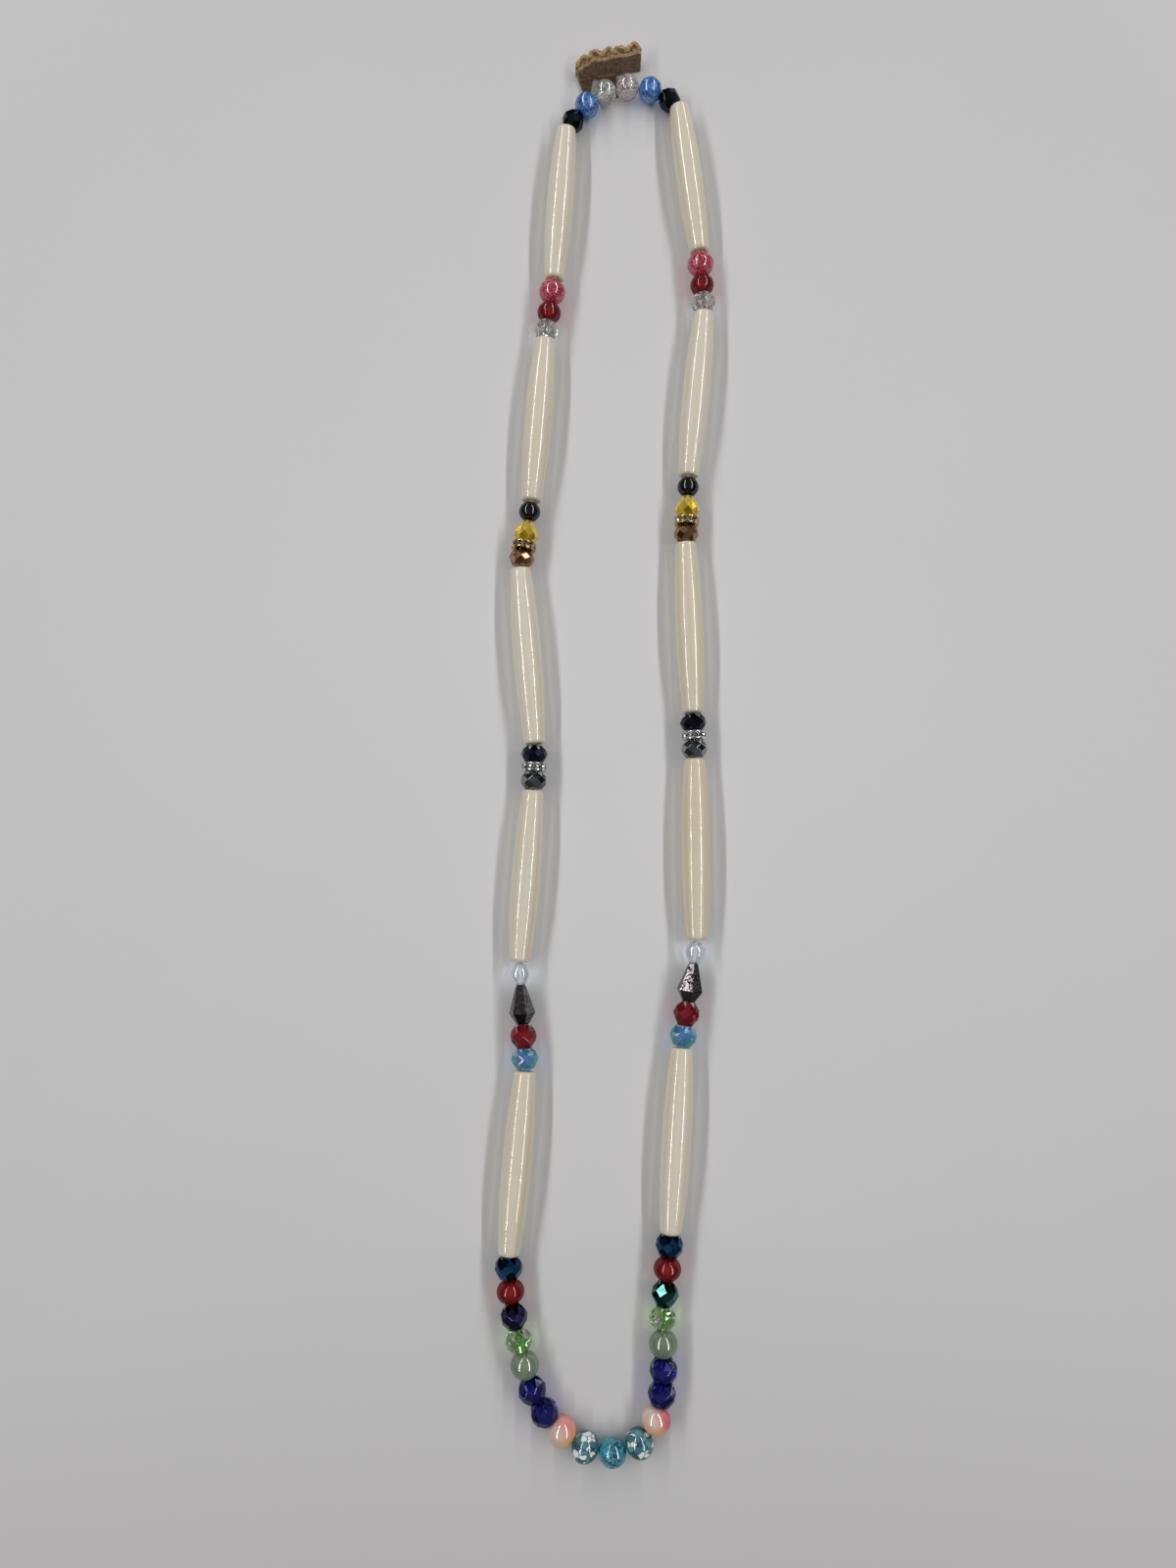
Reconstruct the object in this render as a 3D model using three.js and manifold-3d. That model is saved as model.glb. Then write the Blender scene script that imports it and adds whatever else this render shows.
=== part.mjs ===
import * as THREE from 'three';
import * as BufferGeometryUtils from 'three/addons/utils/BufferGeometryUtils.js';
import Module from 'manifold-3d';

const wasm = await Module();
wasm.setup();

// A closed string of long bone hairpipes and glass, stone and metal beads, lying flat on z = 0.
// All sizes are in millimetres. The front of the string is at -Y, and its back at +Y.

// Hairpipes are round bone tubes, thickest over a level stretch at the middle, rounded at the rims.
const PIPE_MIDDLE_DIAMETER = 8.3;
const PIPE_END_DIAMETER = 6.0;
const PIPE_LEVEL_LENGTH = 12;
const PIPE_RIM_ROUND = 0.5;
const PIPE_BORE = 2.8;
const PIPE_SIDES = 12;

// Pipes are cut by hand to about two inches. Each one has its own share of the common length, in
// rows from the front of the string to the back.
const PIPE_LENGTH = 50;
const PIPE_SHARES = [
  { left: 0.988, right: 1.002 },
  { left: 0.972, right: 1.034 },
  { left: 1.046, right: 1.018 },
  { left: 1.016, right: 1.038 },
  { left: 0.992, right: 0.968 },
];

const BEAD_BORE = 1.3;
const BORE_SIDES = 8;
const ROUND_SIDES = 12;
const THREAD_DIAMETER = 0.5;
const THREAD_SIDES = 6;

// Neighbours on the string keep this clearance. Beads of one spacer group sink into each other
// by the fusing depth, so that the group is one solid.
const JOINT_GAP = 0.3;
const FUSING_DEPTH = 0.1;

// Cut beads: rings of corners along the bead as shares of its length and radius. The narrow end
// of a drop is at +0.5 and points to the back of the necklace.
const CUTS = {
  rondelle: {
    sides: 10,
    staggered: true,
    rings: [
      { along: -0.5, out: 0.5 },
      { along: -0.3, out: 0.87 },
      { along: 0, out: 1 },
      { along: 0.3, out: 0.87 },
      { along: 0.5, out: 0.5 },
    ],
  },
  polished: {
    sides: 8,
    staggered: true,
    rings: [
      { along: -0.5, out: 0.4 },
      { along: -0.33, out: 0.79 },
      { along: 0, out: 1 },
      { along: 0.33, out: 0.79 },
      { along: 0.5, out: 0.4 },
    ],
  },
  egg: {
    sides: 8,
    staggered: true,
    rings: [
      { along: -0.5, out: 0.46 },
      { along: -0.36, out: 0.84 },
      { along: -0.1, out: 1 },
      { along: 0.22, out: 0.78 },
      { along: 0.5, out: 0.36 },
    ],
  },
  drop: {
    sides: 8,
    staggered: false,
    rings: [
      { along: -0.5, out: 0.5 },
      { along: -0.22, out: 1 },
      { along: 0.5, out: 0.36 },
    ],
  },
};

// A ball is turned, with a flat of this diameter round each hole.
const BALL_FLAT = 2;
const BALL_RINGS = 6;

// Beads. Colours are those of the glass, stone or metal.
const BEADS = {
  clearCrackle: { form: 'ball', diameter: 7.4, length: 6.7, color: 0xd5d5d2, roughness: 0.1, metalness: 0 },
  blueCrackle: { form: 'ball', diameter: 7.55, length: 6.45, color: 0x3d78b8, roughness: 0.1, metalness: 0 },
  darkLuster: { form: 'polished', diameter: 6.85, length: 5.9, color: 0x16241f, roughness: 0.15, metalness: 0.2 },
  pinkCrackle: { form: 'ball', diameter: 7.9, length: 7.2, color: 0xd0436a, roughness: 0.1, metalness: 0 },
  redRound: { form: 'ball', diameter: 7.1, length: 6.4, color: 0x8e0f25, roughness: 0.1, metalness: 0 },
  clearRondelle: { form: 'rondelle', diameter: 7.5, length: 5.3, color: 0xdedce0, roughness: 0.08, metalness: 0 },
  blackRound: { form: 'ball', diameter: 6.0, length: 5.75, color: 0x0b0b10, roughness: 0.1, metalness: 0 },
  yellowEgg: { form: 'egg', diameter: 7.5, length: 6.7, color: 0xd9a72c, roughness: 0.25, metalness: 0.1 },
  goldRondelle: { form: 'rhinestone', diameter: 7.2, length: 2.6, color: 0xb59a55, roughness: 0.25, metalness: 1 },
  bronzeRondelle: { form: 'rondelle', diameter: 7.2, length: 5.0, color: 0x7a5b3c, roughness: 0.2, metalness: 1 },
  blackRondelle: { form: 'rondelle', diameter: 7.35, length: 5.1, color: 0x10121a, roughness: 0.1, metalness: 0 },
  silverRondelle: { form: 'rhinestone', diameter: 7.1, length: 2.7, color: 0xc9c9cc, roughness: 0.2, metalness: 1 },
  gunmetalRondelle: { form: 'rondelle', diameter: 7.3, length: 5.15, color: 0x4d525c, roughness: 0.2, metalness: 0.9 },
  opalite: { form: 'ball', diameter: 6.6, length: 6.1, color: 0xc8d3dc, roughness: 0.15, metalness: 0 },
  hematiteDrop: { form: 'drop', diameter: 7.6, length: 10.85, color: 0x35353a, roughness: 0.25, metalness: 0.9 },
  redFaceted: { form: 'polished', diameter: 7.4, length: 6.7, color: 0x8c1630, roughness: 0.1, metalness: 0 },
  skyRondelle: { form: 'rondelle', diameter: 7.5, length: 5.8, color: 0x3a9cc4, roughness: 0.1, metalness: 0 },
  blueIris: { form: 'rondelle', diameter: 7.6, length: 5.6, color: 0x1d3a63, roughness: 0.2, metalness: 0.7 },
  redOval: { form: 'ball', diameter: 7.4, length: 6.2, color: 0xa3101f, roughness: 0.1, metalness: 0 },
  darkIris: { form: 'polished', diameter: 7.45, length: 6.1, color: 0x27305c, roughness: 0.2, metalness: 0.6 },
  lightGreen: { form: 'polished', diameter: 7.5, length: 5.65, color: 0x9ed48a, roughness: 0.1, metalness: 0 },
  aventurine: { form: 'ball', diameter: 7.7, length: 7.0, color: 0x7c9b80, roughness: 0.3, metalness: 0 },
  cobaltRondelle: { form: 'rondelle', diameter: 7.6, length: 5.7, color: 0x16209a, roughness: 0.1, metalness: 0 },
  pinkStone: { form: 'ball', diameter: 7.7, length: 6.95, color: 0xdba894, roughness: 0.25, metalness: 0 },
  mosaicStone: { form: 'ball', diameter: 7.8, length: 6.8, color: 0x6f9ca3, roughness: 0.3, metalness: 0 },
  aquaCrackle: { form: 'ball', diameter: 7.6, length: 7.1, color: 0x1d8ea6, roughness: 0.1, metalness: 0 },
};

// Rhinestone rondelles: two rims on a drum, with cut stones all round between them.
const STONE_COUNT = 12;
const STONE_DIAMETER = 1.5;
const STONE_RISE = 0.55;
const STONE_CUTS = 8;
const STONE_TABLE_SHARE = 0.55;
const RIM_THICKNESS = 0.55;
const DRUM_DIAMETER = 5.6;

// One side of the string from the front to the back. A row with several beads is one fused
// spacer group, and a row with a pipe takes its length from the table of pipes.
const SIDE_ROWS = [
  { name: 'mosaic_stone', beads: ['mosaicStone'] },
  { name: 'pink_stone', beads: ['pinkStone'] },
  { name: 'cobalt_front', beads: ['cobaltRondelle'] },
  { name: 'cobalt_back', beads: ['cobaltRondelle'] },
  { name: 'aventurine', beads: ['aventurine'] },
  { name: 'light_green', beads: ['lightGreen'] },
  { name: 'dark_iris', beads: ['darkIris'] },
  { name: 'red_oval', beads: ['redOval'] },
  { name: 'blue_iris', beads: ['blueIris'] },
  { name: 'hairpipe_1', pipe: 0 },
  { name: 'spacer_hematite', beads: ['skyRondelle', 'redFaceted', 'hematiteDrop', 'opalite'] },
  { name: 'hairpipe_2', pipe: 1 },
  { name: 'spacer_silver', beads: ['gunmetalRondelle', 'silverRondelle', 'blackRondelle'] },
  { name: 'hairpipe_3', pipe: 2 },
  { name: 'spacer_gold', beads: ['bronzeRondelle', 'goldRondelle', 'yellowEgg', 'blackRound'] },
  { name: 'hairpipe_4', pipe: 3 },
  { name: 'spacer_rose', beads: ['clearRondelle', 'redRound', 'pinkCrackle'] },
  { name: 'hairpipe_5', pipe: 4 },
  { name: 'dark_luster', beads: ['darkLuster'] },
  { name: 'blue_crackle', beads: ['blueCrackle'] },
  { name: 'clear_crackle', beads: ['clearCrackle'] },
];
const CENTRE_ROW = { name: 'aqua_centre', beads: ['aquaCrackle'] };

// Where the string lies: points that it passes, from the left of the centre bead up the left side,
// round the back and down the right side.
const ROUTE = [
  [2.7, -144.6], [-3.9, -141.7], [-9.6, -136.8], [-13.6, -132.1], [-15.9, -126.5], [-17.9, -118.9],
  [-19.5, -113.1], [-20.6, -106.7], [-21.5, -100.2], [-21.7, -94.5], [-17.4, -44.9], [-19.3, -15.5],
  [-15.7, 33.4], [-15.3, 46.6], [-19.9, 99.1], [-16.8, 119.5], [-12.9, 170.5], [-10.3, 189.8],
  [-6.7, 239.7], [-3.0, 244.8], [1.4, 249.7], [7.5, 253.4], [14.6, 254.3], [21.4, 252.1],
  [27.4, 249.1], [33.8, 200.7], [35.2, 181.5], [30.0, 129.5], [28.9, 109.3], [30.3, 58.0],
  [30.7, 44.6], [30.8, -7.5], [26.3, -37.2], [22.7, -87.6], [22.0, -94.1], [21.4, -100.8],
  [20.5, -107.4], [20.2, -113.6], [20.6, -121.0], [20.2, -127.2], [19.4, -133.5], [16.6, -140.4],
  [10.3, -144.3],
];
const ROUTE_SAMPLES = 6000;

// Suede tab behind the two clear beads: a flat ply in front, a fluted ply behind it, and a foot
// that reaches under the thread where the two clear beads meet.
const TAB_WIDTH = 20.2;
const TAB_HEIGHT = 7.8;
const TAB_LOW_END_HEIGHT = 4.4;
const TAB_LOW_END_WIDTH = 5;
const TAB_TURN = THREE.MathUtils.degToRad(11);
const TAB_SETBACK = 8.6;
const TAB_SHIFT = -1.2;
const PLY_THICKNESS = 1.3;
const FLUTE_COUNT = 5;
const FLUTE_DEPTH = 3.4;
const FLUTE_STEPS = 8;
const HOLLOW_WALL_SHARE = 0.75;
const HOLLOW_CORNERS = [
  { across: -1, deep: 0 },
  { across: 1, deep: 0 },
  { across: 0.7, deep: 0.75 },
  { across: 0, deep: 1 },
  { across: -0.7, deep: 0.75 },
];
const FOOT_BACK_WIDTH = 12;
const FOOT_FRONT_WIDTH = 5;
const TONGUE_WIDTH = 3.2;
const TONGUE_LENGTH = 4.6;

const SUEDE = { color: 0x5f4636, roughness: 0.95, metalness: 0 };
const BONE = { color: 0xe1dccd, roughness: 0.3, metalness: 0 };
const THREAD = { color: 0xcfc8b8, roughness: 0.8, metalness: 0 };

function toSolid(geometry) {
  const bare = geometry.clone();
  bare.deleteAttribute('normal');
  bare.deleteAttribute('uv');
  const merged = BufferGeometryUtils.mergeVertices(bare);
  return new wasm.Manifold(new wasm.Mesh({
    numProp: 3,
    vertProperties: merged.attributes.position.array,
    triVerts: Uint32Array.from(merged.index.array),
  }));
}

function toGeometry(solid) {
  const mesh = solid.getMesh();
  const geometry = new THREE.BufferGeometry();
  geometry.setAttribute('position', new THREE.BufferAttribute(mesh.vertProperties, 3));
  geometry.setIndex(new THREE.BufferAttribute(mesh.triVerts, 1));
  geometry.computeVertexNormals();
  return geometry;
}

// A rod along X, used for bores.
function rod(diameter, length) {
  const cylinder = new THREE.CylinderGeometry(diameter / 2, diameter / 2, length, BORE_SIDES);
  cylinder.rotateZ(Math.PI / 2);
  return toSolid(cylinder);
}

// A solid of revolution round X with a flat side facing down. The outline runs from -X to +X.
function turnedSolid(outline, sides) {
  const acrossFlats = Math.cos(Math.PI / sides);
  const points = outline.map(({ along, out }) => new THREE.Vector2(out / acrossFlats, along));
  const first = new THREE.Vector2(0, outline[0].along);
  const last = new THREE.Vector2(0, outline[outline.length - 1].along);
  const lathe = new THREE.LatheGeometry([first, ...points, last], sides, Math.PI / sides);
  lathe.rotateZ(-Math.PI / 2);
  return toSolid(lathe);
}

// Flat facets between rings of corners along X. Staggered rings turn by half a step each.
function cutSolid(rings, sides, staggered) {
  const positions = [];
  const indices = [];
  rings.forEach((ring, row) => {
    const turn = staggered ? row / 2 : 0.5;
    for (let side = 0; side < sides; side += 1) {
      const angle = ((side + turn) / sides) * 2 * Math.PI;
      positions.push(ring.along, ring.out * Math.cos(angle), ring.out * Math.sin(angle));
    }
  });
  for (let row = 0; row < rings.length - 1; row += 1) {
    for (let side = 0; side < sides; side += 1) {
      const here = row * sides + side;
      const next = row * sides + ((side + 1) % sides);
      indices.push(here, next, here + sides, next, next + sides, here + sides);
    }
  }
  const lastRing = (rings.length - 1) * sides;
  for (let side = 1; side < sides - 1; side += 1) {
    indices.push(0, side + 1, side);
    indices.push(lastRing, lastRing + side, lastRing + side + 1);
  }
  const geometry = new THREE.BufferGeometry();
  geometry.setAttribute('position', new THREE.Float32BufferAttribute(positions, 3));
  geometry.setIndex(indices);
  return toSolid(geometry);
}

function ballSolid({ diameter, length }) {
  const radius = diameter / 2;
  const fullHalf = length / 2 / Math.sqrt(1 - (BALL_FLAT / diameter) ** 2);
  const outline = [];
  for (let ring = 0; ring <= BALL_RINGS; ring += 1) {
    const along = length * (ring / BALL_RINGS - 0.5);
    const rounded = length * 0.5 * Math.sin((Math.PI * along) / length);
    outline.push({ along: rounded, out: radius * Math.sqrt(1 - (rounded / fullHalf) ** 2) });
  }
  return turnedSolid(outline, ROUND_SIDES);
}

// One cut stone with a table and a ring of facets, rising along +Z from its girdle.
function stoneSolid() {
  const rings = [
    { along: -STONE_RISE, out: STONE_DIAMETER / 2 },
    { along: 0, out: STONE_DIAMETER / 2 },
    { along: STONE_RISE, out: (STONE_DIAMETER / 2) * STONE_TABLE_SHARE },
  ];
  return cutSolid(rings, STONE_CUTS, false).rotate([0, -90, 0]);
}

function rhinestoneSolid({ diameter, length }) {
  const half = length / 2;
  const inner = half - RIM_THICKNESS;
  const drum = [
    { along: -half, out: diameter / 2 },
    { along: -inner, out: diameter / 2 },
    { along: -inner, out: DRUM_DIAMETER / 2 },
    { along: inner, out: DRUM_DIAMETER / 2 },
    { along: inner, out: diameter / 2 },
    { along: half, out: diameter / 2 },
  ];
  let solid = turnedSolid(drum, ROUND_SIDES);
  const stone = stoneSolid();
  const girdleHeight = diameter / 2 - STONE_RISE;
  for (let place = 0; place < STONE_COUNT; place += 1) {
    const angle = ((place + 0.5) / STONE_COUNT) * 360;
    solid = solid.add(stone.translate([0, 0, girdleHeight]).rotate([angle, 0, 0]));
  }
  return solid;
}

function beadSolid(bead) {
  if (bead.form === 'ball') return ballSolid(bead);
  if (bead.form === 'rhinestone') return rhinestoneSolid(bead);
  const cut = CUTS[bead.form];
  const rings = cut.rings.map(({ along, out }) => ({
    along: along * bead.length,
    out: (out * bead.diameter) / 2,
  }));
  return cutSolid(rings, cut.sides, cut.staggered);
}

// Radius of the flat face at an end of a bead, where 0 is the front end and 1 the back end.
function flatRadius(bead, end) {
  if (bead.form === 'ball') return BALL_FLAT / 2;
  if (bead.form === 'rhinestone') return bead.diameter / 2;
  const { rings } = CUTS[bead.form];
  return (rings[end * (rings.length - 1)].out * bead.diameter) / 2;
}

function pipeSolid(length) {
  const half = length / 2;
  const level = PIPE_LEVEL_LENGTH / 2;
  const slope = (half - PIPE_RIM_ROUND - level) / 2;
  const middle = PIPE_MIDDLE_DIAMETER / 2;
  const end = PIPE_END_DIAMETER / 2;
  const shoulder = middle - (middle - end) * 0.35;
  const outline = [
    { along: -half, out: end - PIPE_RIM_ROUND },
    { along: -half + PIPE_RIM_ROUND, out: end },
    { along: -level - slope, out: shoulder },
    { along: -level, out: middle },
    { along: level, out: middle },
    { along: level + slope, out: shoulder },
    { along: half - PIPE_RIM_ROUND, out: end },
    { along: half, out: end - PIPE_RIM_ROUND },
  ];
  return turnedSolid(outline, PIPE_SIDES).subtract(rod(PIPE_BORE, length * 2));
}

// Beads in a row along X, the first at the front, centred and drilled through.
function stringSolid(beads, length) {
  let solid = null;
  let front = -length / 2;
  for (const bead of beads) {
    const placed = beadSolid(bead).translate([front + bead.length / 2, 0, 0]);
    solid = solid ? solid.add(placed) : placed;
    front += bead.length - FUSING_DEPTH;
  }
  return solid.subtract(rod(BEAD_BORE, length * 2));
}

// What one row of the string is: its length, its end faces, its height over the floor, and its finish.
function itemOf(row, side) {
  if (row.pipe !== undefined) {
    const face = PIPE_END_DIAMETER / 2 - PIPE_RIM_ROUND;
    const length = PIPE_LENGTH * PIPE_SHARES[row.pipe][side];
    return {
      name: `${row.name}_${side}`, length, faces: [face, face], height: PIPE_MIDDLE_DIAMETER / 2,
      finish: BONE, isPipe: true, solid: () => pipeSolid(length),
    };
  }
  const beads = row.beads.map((key) => BEADS[key]);
  const widest = Math.max(...beads.map((bead) => bead.diameter)) / 2;
  const length = beads.reduce((sum, bead) => sum + bead.length, 0) - FUSING_DEPTH * (beads.length - 1);
  const between = beads.length > 1;
  return {
    name: side ? `${row.name}_${side}` : row.name,
    length,
    faces: [flatRadius(beads[0], 0), flatRadius(beads[beads.length - 1], 1)],
    height: between ? Math.max(widest, PIPE_MIDDLE_DIAMETER / 2) : widest / Math.cos(Math.PI / ROUND_SIDES),
    finish: beads[0],
    isPipe: false,
    solid: () => stringSolid(beads, length),
  };
}

// The whole loop in the order of the route. Items on the right side are met back end first.
function loopItems() {
  const left = SIDE_ROWS.map((row) => ({ ...itemOf(row, 'left'), reversed: false }));
  const right = SIDE_ROWS.map((row) => ({ ...itemOf(row, 'right'), reversed: true })).reverse();
  return [...left, ...right, { ...itemOf(CENTRE_ROW, ''), reversed: true }];
}

function sampleRoute() {
  const points = ROUTE.map(([x, y]) => new THREE.Vector3(x, y, 0));
  return new THREE.CatmullRomCurve3(points, true, 'centripetal').getSpacedPoints(ROUTE_SAMPLES);
}

// Steps along the route in straight strides, and gives where each stride ends. The last joint
// runs on past the start if the strides are longer than the route.
function stride(route, scale, strides) {
  const joints = [route[0].clone().multiplyScalar(scale)];
  let sample = 0;
  for (const length of strides) {
    const from = joints[joints.length - 1];
    let reach = 0;
    let before = 0;
    let point = from;
    while (reach < length) {
      sample += 1;
      point = route[sample % ROUTE_SAMPLES].clone().multiplyScalar(scale);
      before = reach;
      reach = point.distanceTo(from);
    }
    sample -= (reach - length) / (reach - before);
    const whole = Math.floor(sample);
    const low = route[whole % ROUTE_SAMPLES].clone();
    const high = route[(whole + 1) % ROUTE_SAMPLES];
    joints.push(low.lerp(high, sample - whole).multiplyScalar(scale));
    sample = whole;
  }
  return { joints, sample };
}

// The route is scaled so that the strides close it exactly.
function closedJoints(route, strides) {
  let small = 0.5;
  let large = 2;
  while (large - small > 4 * Number.EPSILON) {
    const scale = (small + large) / 2;
    const { sample } = stride(route, scale, strides);
    if (sample >= ROUTE_SAMPLES) small = scale;
    else large = scale;
  }
  return stride(route, large, strides).joints;
}

function firstFace(item) {
  return item.faces[item.reversed ? 1 : 0];
}

function lastFace(item) {
  return item.faces[item.reversed ? 0 : 1];
}

function turnAt(joints, index, count) {
  const before = joints[index].clone().sub(joints[(index - 1 + count) % count]);
  const after = joints[(index + 1) % count].clone().sub(joints[index]);
  return before.angleTo(after);
}

// Joints of the string. Where the string bends, the inner edge of the smaller face meets the other
// face, so each item stands off its joint by what the bend and the gap need.
function layString(items) {
  const route = sampleRoute();
  const count = items.length;
  let offsets = items.map(() => [JOINT_GAP / 2, JOINT_GAP / 2]);
  let joints = [];
  let change = Infinity;
  while (change > JOINT_GAP / 10000) {
    const strides = items.map((item, i) => item.length + offsets[i][0] + offsets[i][1]);
    joints = closedJoints(route, strides).slice(0, count);
    const standOffs = items.map((item, i) => {
      const touching = Math.min(firstFace(item), lastFace(items[(i - 1 + count) % count]));
      return touching * Math.tan(turnAt(joints, i, count) / 2) + JOINT_GAP / 2;
    });
    change = Math.max(...standOffs.map((standOff, i) => Math.abs(standOff - offsets[i][0])));
    offsets = items.map((item, i) => [standOffs[i], standOffs[(i + 1) % count]]);
  }
  return { joints, offsets };
}

// Where an item lies: its centre, and its heading from its front end to its back end.
function placeOf(item, index, { joints, offsets }) {
  const from = joints[index];
  const to = joints[(index + 1) % joints.length];
  const direction = to.clone().sub(from).normalize();
  const slack = from.distanceTo(to) - item.length;
  const share = offsets[index][0] / (offsets[index][0] + offsets[index][1]);
  const centre = from.clone().addScaledVector(direction, slack * share + item.length / 2);
  const heading = Math.atan2(direction.y, direction.x) + (item.reversed ? Math.PI : 0);
  return { centre: centre.setZ(item.height), heading };
}

// The thread passes every joint at the height of the narrower bore.
function threadPoints(items, joints) {
  return joints.map((joint, index) => {
    const after = items[index];
    const before = items[(index - 1 + items.length) % items.length];
    let height = (before.height + after.height) / 2;
    if (before.isPipe) height = after.height;
    if (after.isPipe) height = before.height;
    return joint.clone().setZ(height);
  });
}

// A closed ring of thread: one section at each joint, mitred between its two straight stretches.
function threadGeometry(points) {
  const count = points.length;
  const up = new THREE.Vector3(0, 0, 1);
  const positions = [];
  const indices = [];
  points.forEach((point, index) => {
    const before = point.clone().sub(points[(index - 1 + count) % count]).normalize();
    const after = points[(index + 1) % count].clone().sub(point).normalize();
    const mitre = 1 / Math.cos(before.angleTo(after) / 2);
    const tangent = before.add(after).normalize();
    const side = new THREE.Vector3().crossVectors(up, tangent).normalize();
    const rise = new THREE.Vector3().crossVectors(tangent, side);
    for (let corner = 0; corner < THREAD_SIDES; corner += 1) {
      const angle = (corner / THREAD_SIDES) * 2 * Math.PI;
      const vertex = point.clone()
        .addScaledVector(side, (THREAD_DIAMETER / 2) * mitre * Math.cos(angle))
        .addScaledVector(rise, (THREAD_DIAMETER / 2) * Math.sin(angle));
      positions.push(vertex.x, vertex.y, vertex.z);
      const next = (corner + 1) % THREAD_SIDES;
      const here = index * THREAD_SIDES;
      const ahead = ((index + 1) % count) * THREAD_SIDES;
      indices.push(here + corner, here + next, ahead + corner);
      indices.push(here + next, ahead + next, ahead + corner);
    }
  });
  const geometry = new THREE.BufferGeometry();
  geometry.setAttribute('position', new THREE.Float32BufferAttribute(positions, 3));
  geometry.setIndex(indices);
  geometry.computeVertexNormals();
  return geometry;
}

// Plan of the fluted ply's back: one half wave for each lobe, with both plies in touch between the
// lobes. The flat ply's front is at y = 0.
function fluteLine() {
  const pitch = TAB_WIDTH / FLUTE_COUNT;
  const points = [];
  for (let step = 0; step <= FLUTE_COUNT * FLUTE_STEPS; step += 1) {
    const phase = step / FLUTE_STEPS;
    const lobe = Math.sqrt(Math.abs(Math.sin(Math.PI * phase)));
    const behind = 2 * PLY_THICKNESS + (FLUTE_DEPTH - PLY_THICKNESS) * lobe;
    points.push([-TAB_WIDTH / 2 + phase * pitch, behind]);
  }
  return points;
}

function outlineShape(points) {
  return new THREE.Shape(points.map(([x, y]) => new THREE.Vector2(x, y)));
}

function extruded(shape, height) {
  return toSolid(new THREE.ExtrudeGeometry(shape, { depth: height, bevelEnabled: false }));
}

// The two plies, with the hollow of each lobe open from the floor to the top.
function pliesSolid() {
  const half = TAB_WIDTH / 2;
  const pitch = TAB_WIDTH / FLUTE_COUNT;
  const halfWidth = pitch / 2 - PLY_THICKNESS * HOLLOW_WALL_SHARE;
  const depth = FLUTE_DEPTH - PLY_THICKNESS;
  let solid = extruded(outlineShape([[-half, 0], [half, 0], ...fluteLine().reverse()]), TAB_HEIGHT);
  for (let lobe = 0; lobe < FLUTE_COUNT; lobe += 1) {
    const middle = -half + (lobe + 0.5) * pitch;
    const hollow = outlineShape(HOLLOW_CORNERS.map(({ across, deep }) => (
      [middle + across * halfWidth, PLY_THICKNESS + deep * depth]
    )));
    solid = solid.subtract(extruded(hollow, 3 * TAB_HEIGHT).translate([0, 0, -TAB_HEIGHT]));
  }
  return solid;
}


// The tab seen from the front: full height, with its left end cut down.
function tabSide() {
  const left = -TAB_WIDTH / 2;
  const depth = 4 * FLUTE_DEPTH;
  const side = outlineShape([
    [left - 1, -1], [-left + 1, -1], [-left + 1, TAB_HEIGHT],
    [left + TAB_LOW_END_WIDTH, TAB_HEIGHT], [left - 1, TAB_LOW_END_HEIGHT - 1],
  ]);
  return extruded(side, depth).rotate([90, 0, 0]).translate([0, depth / 2, 0]);
}

// Suede tab at the back joint, cut clear of the beads in front of it.
function tabSolid(items, string, backJoint) {
  const clearRadius = BEADS.clearCrackle.diameter / 2;
  const footHeight = clearRadius - THREAD_DIAMETER / 2 - 2 * JOINT_GAP;
  const plies = pliesSolid().intersect(tabSide());
  const foot = extruded(outlineShape([
    [-FOOT_BACK_WIDTH / 2, PLY_THICKNESS / 2], [-FOOT_FRONT_WIDTH / 2, -TAB_SETBACK],
    [FOOT_FRONT_WIDTH / 2, -TAB_SETBACK], [FOOT_BACK_WIDTH / 2, PLY_THICKNESS / 2],
  ]), footHeight);
  const left = -TAB_WIDTH / 2;
  const tongue = extruded(outlineShape([
    [left, PLY_THICKNESS / 2], [left + 0.8, -TONGUE_LENGTH],
    [left + TONGUE_WIDTH, -TONGUE_LENGTH], [left + TONGUE_WIDTH + 2, PLY_THICKNESS / 2],
  ]), footHeight);
  let solid = plies.add(foot).add(tongue)
    .rotate([0, 0, THREE.MathUtils.radToDeg(TAB_TURN)])
    .translate([backJoint.x + TAB_SHIFT, backJoint.y + TAB_SETBACK, 0]);
  items.forEach((item, index) => {
    if (!/^(clear|blue)_crackle/.test(item.name)) return;
    const { centre } = placeOf(item, index, string);
    const reach = item.height + JOINT_GAP;
    const room = new THREE.SphereGeometry(reach / Math.cos(Math.PI / ROUND_SIDES), ROUND_SIDES * 2, ROUND_SIDES);
    solid = solid.subtract(toSolid(room).translate([centre.x, centre.y, centre.z]));
  });
  return solid;
}

function meshOf(name, geometry, { color, roughness, metalness }) {
  const material = new THREE.MeshStandardMaterial({ color, roughness, metalness });
  const mesh = new THREE.Mesh(geometry, material);
  mesh.name = name;
  return mesh;
}

function buildNecklace() {
  const items = loopItems();
  const string = layString(items);
  const necklace = new THREE.Group();
  items.forEach((item, index) => {
    const { centre, heading } = placeOf(item, index, string);
    const mesh = meshOf(item.name, toGeometry(item.solid()), item.finish);
    mesh.position.copy(centre);
    mesh.rotation.z = heading;
    necklace.add(mesh);
  });
  const thread = threadGeometry(threadPoints(items, string.joints));
  necklace.add(meshOf('thread', thread, THREAD));
  const backJoint = string.joints[SIDE_ROWS.length];
  necklace.add(meshOf('suede_tab', toGeometry(tabSolid(items, string, backJoint)), SUEDE));
  const middle = new THREE.Box3().setFromObject(necklace).getCenter(new THREE.Vector3());
  necklace.position.set(-middle.x, -middle.y, 0);
  return necklace;
}

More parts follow.
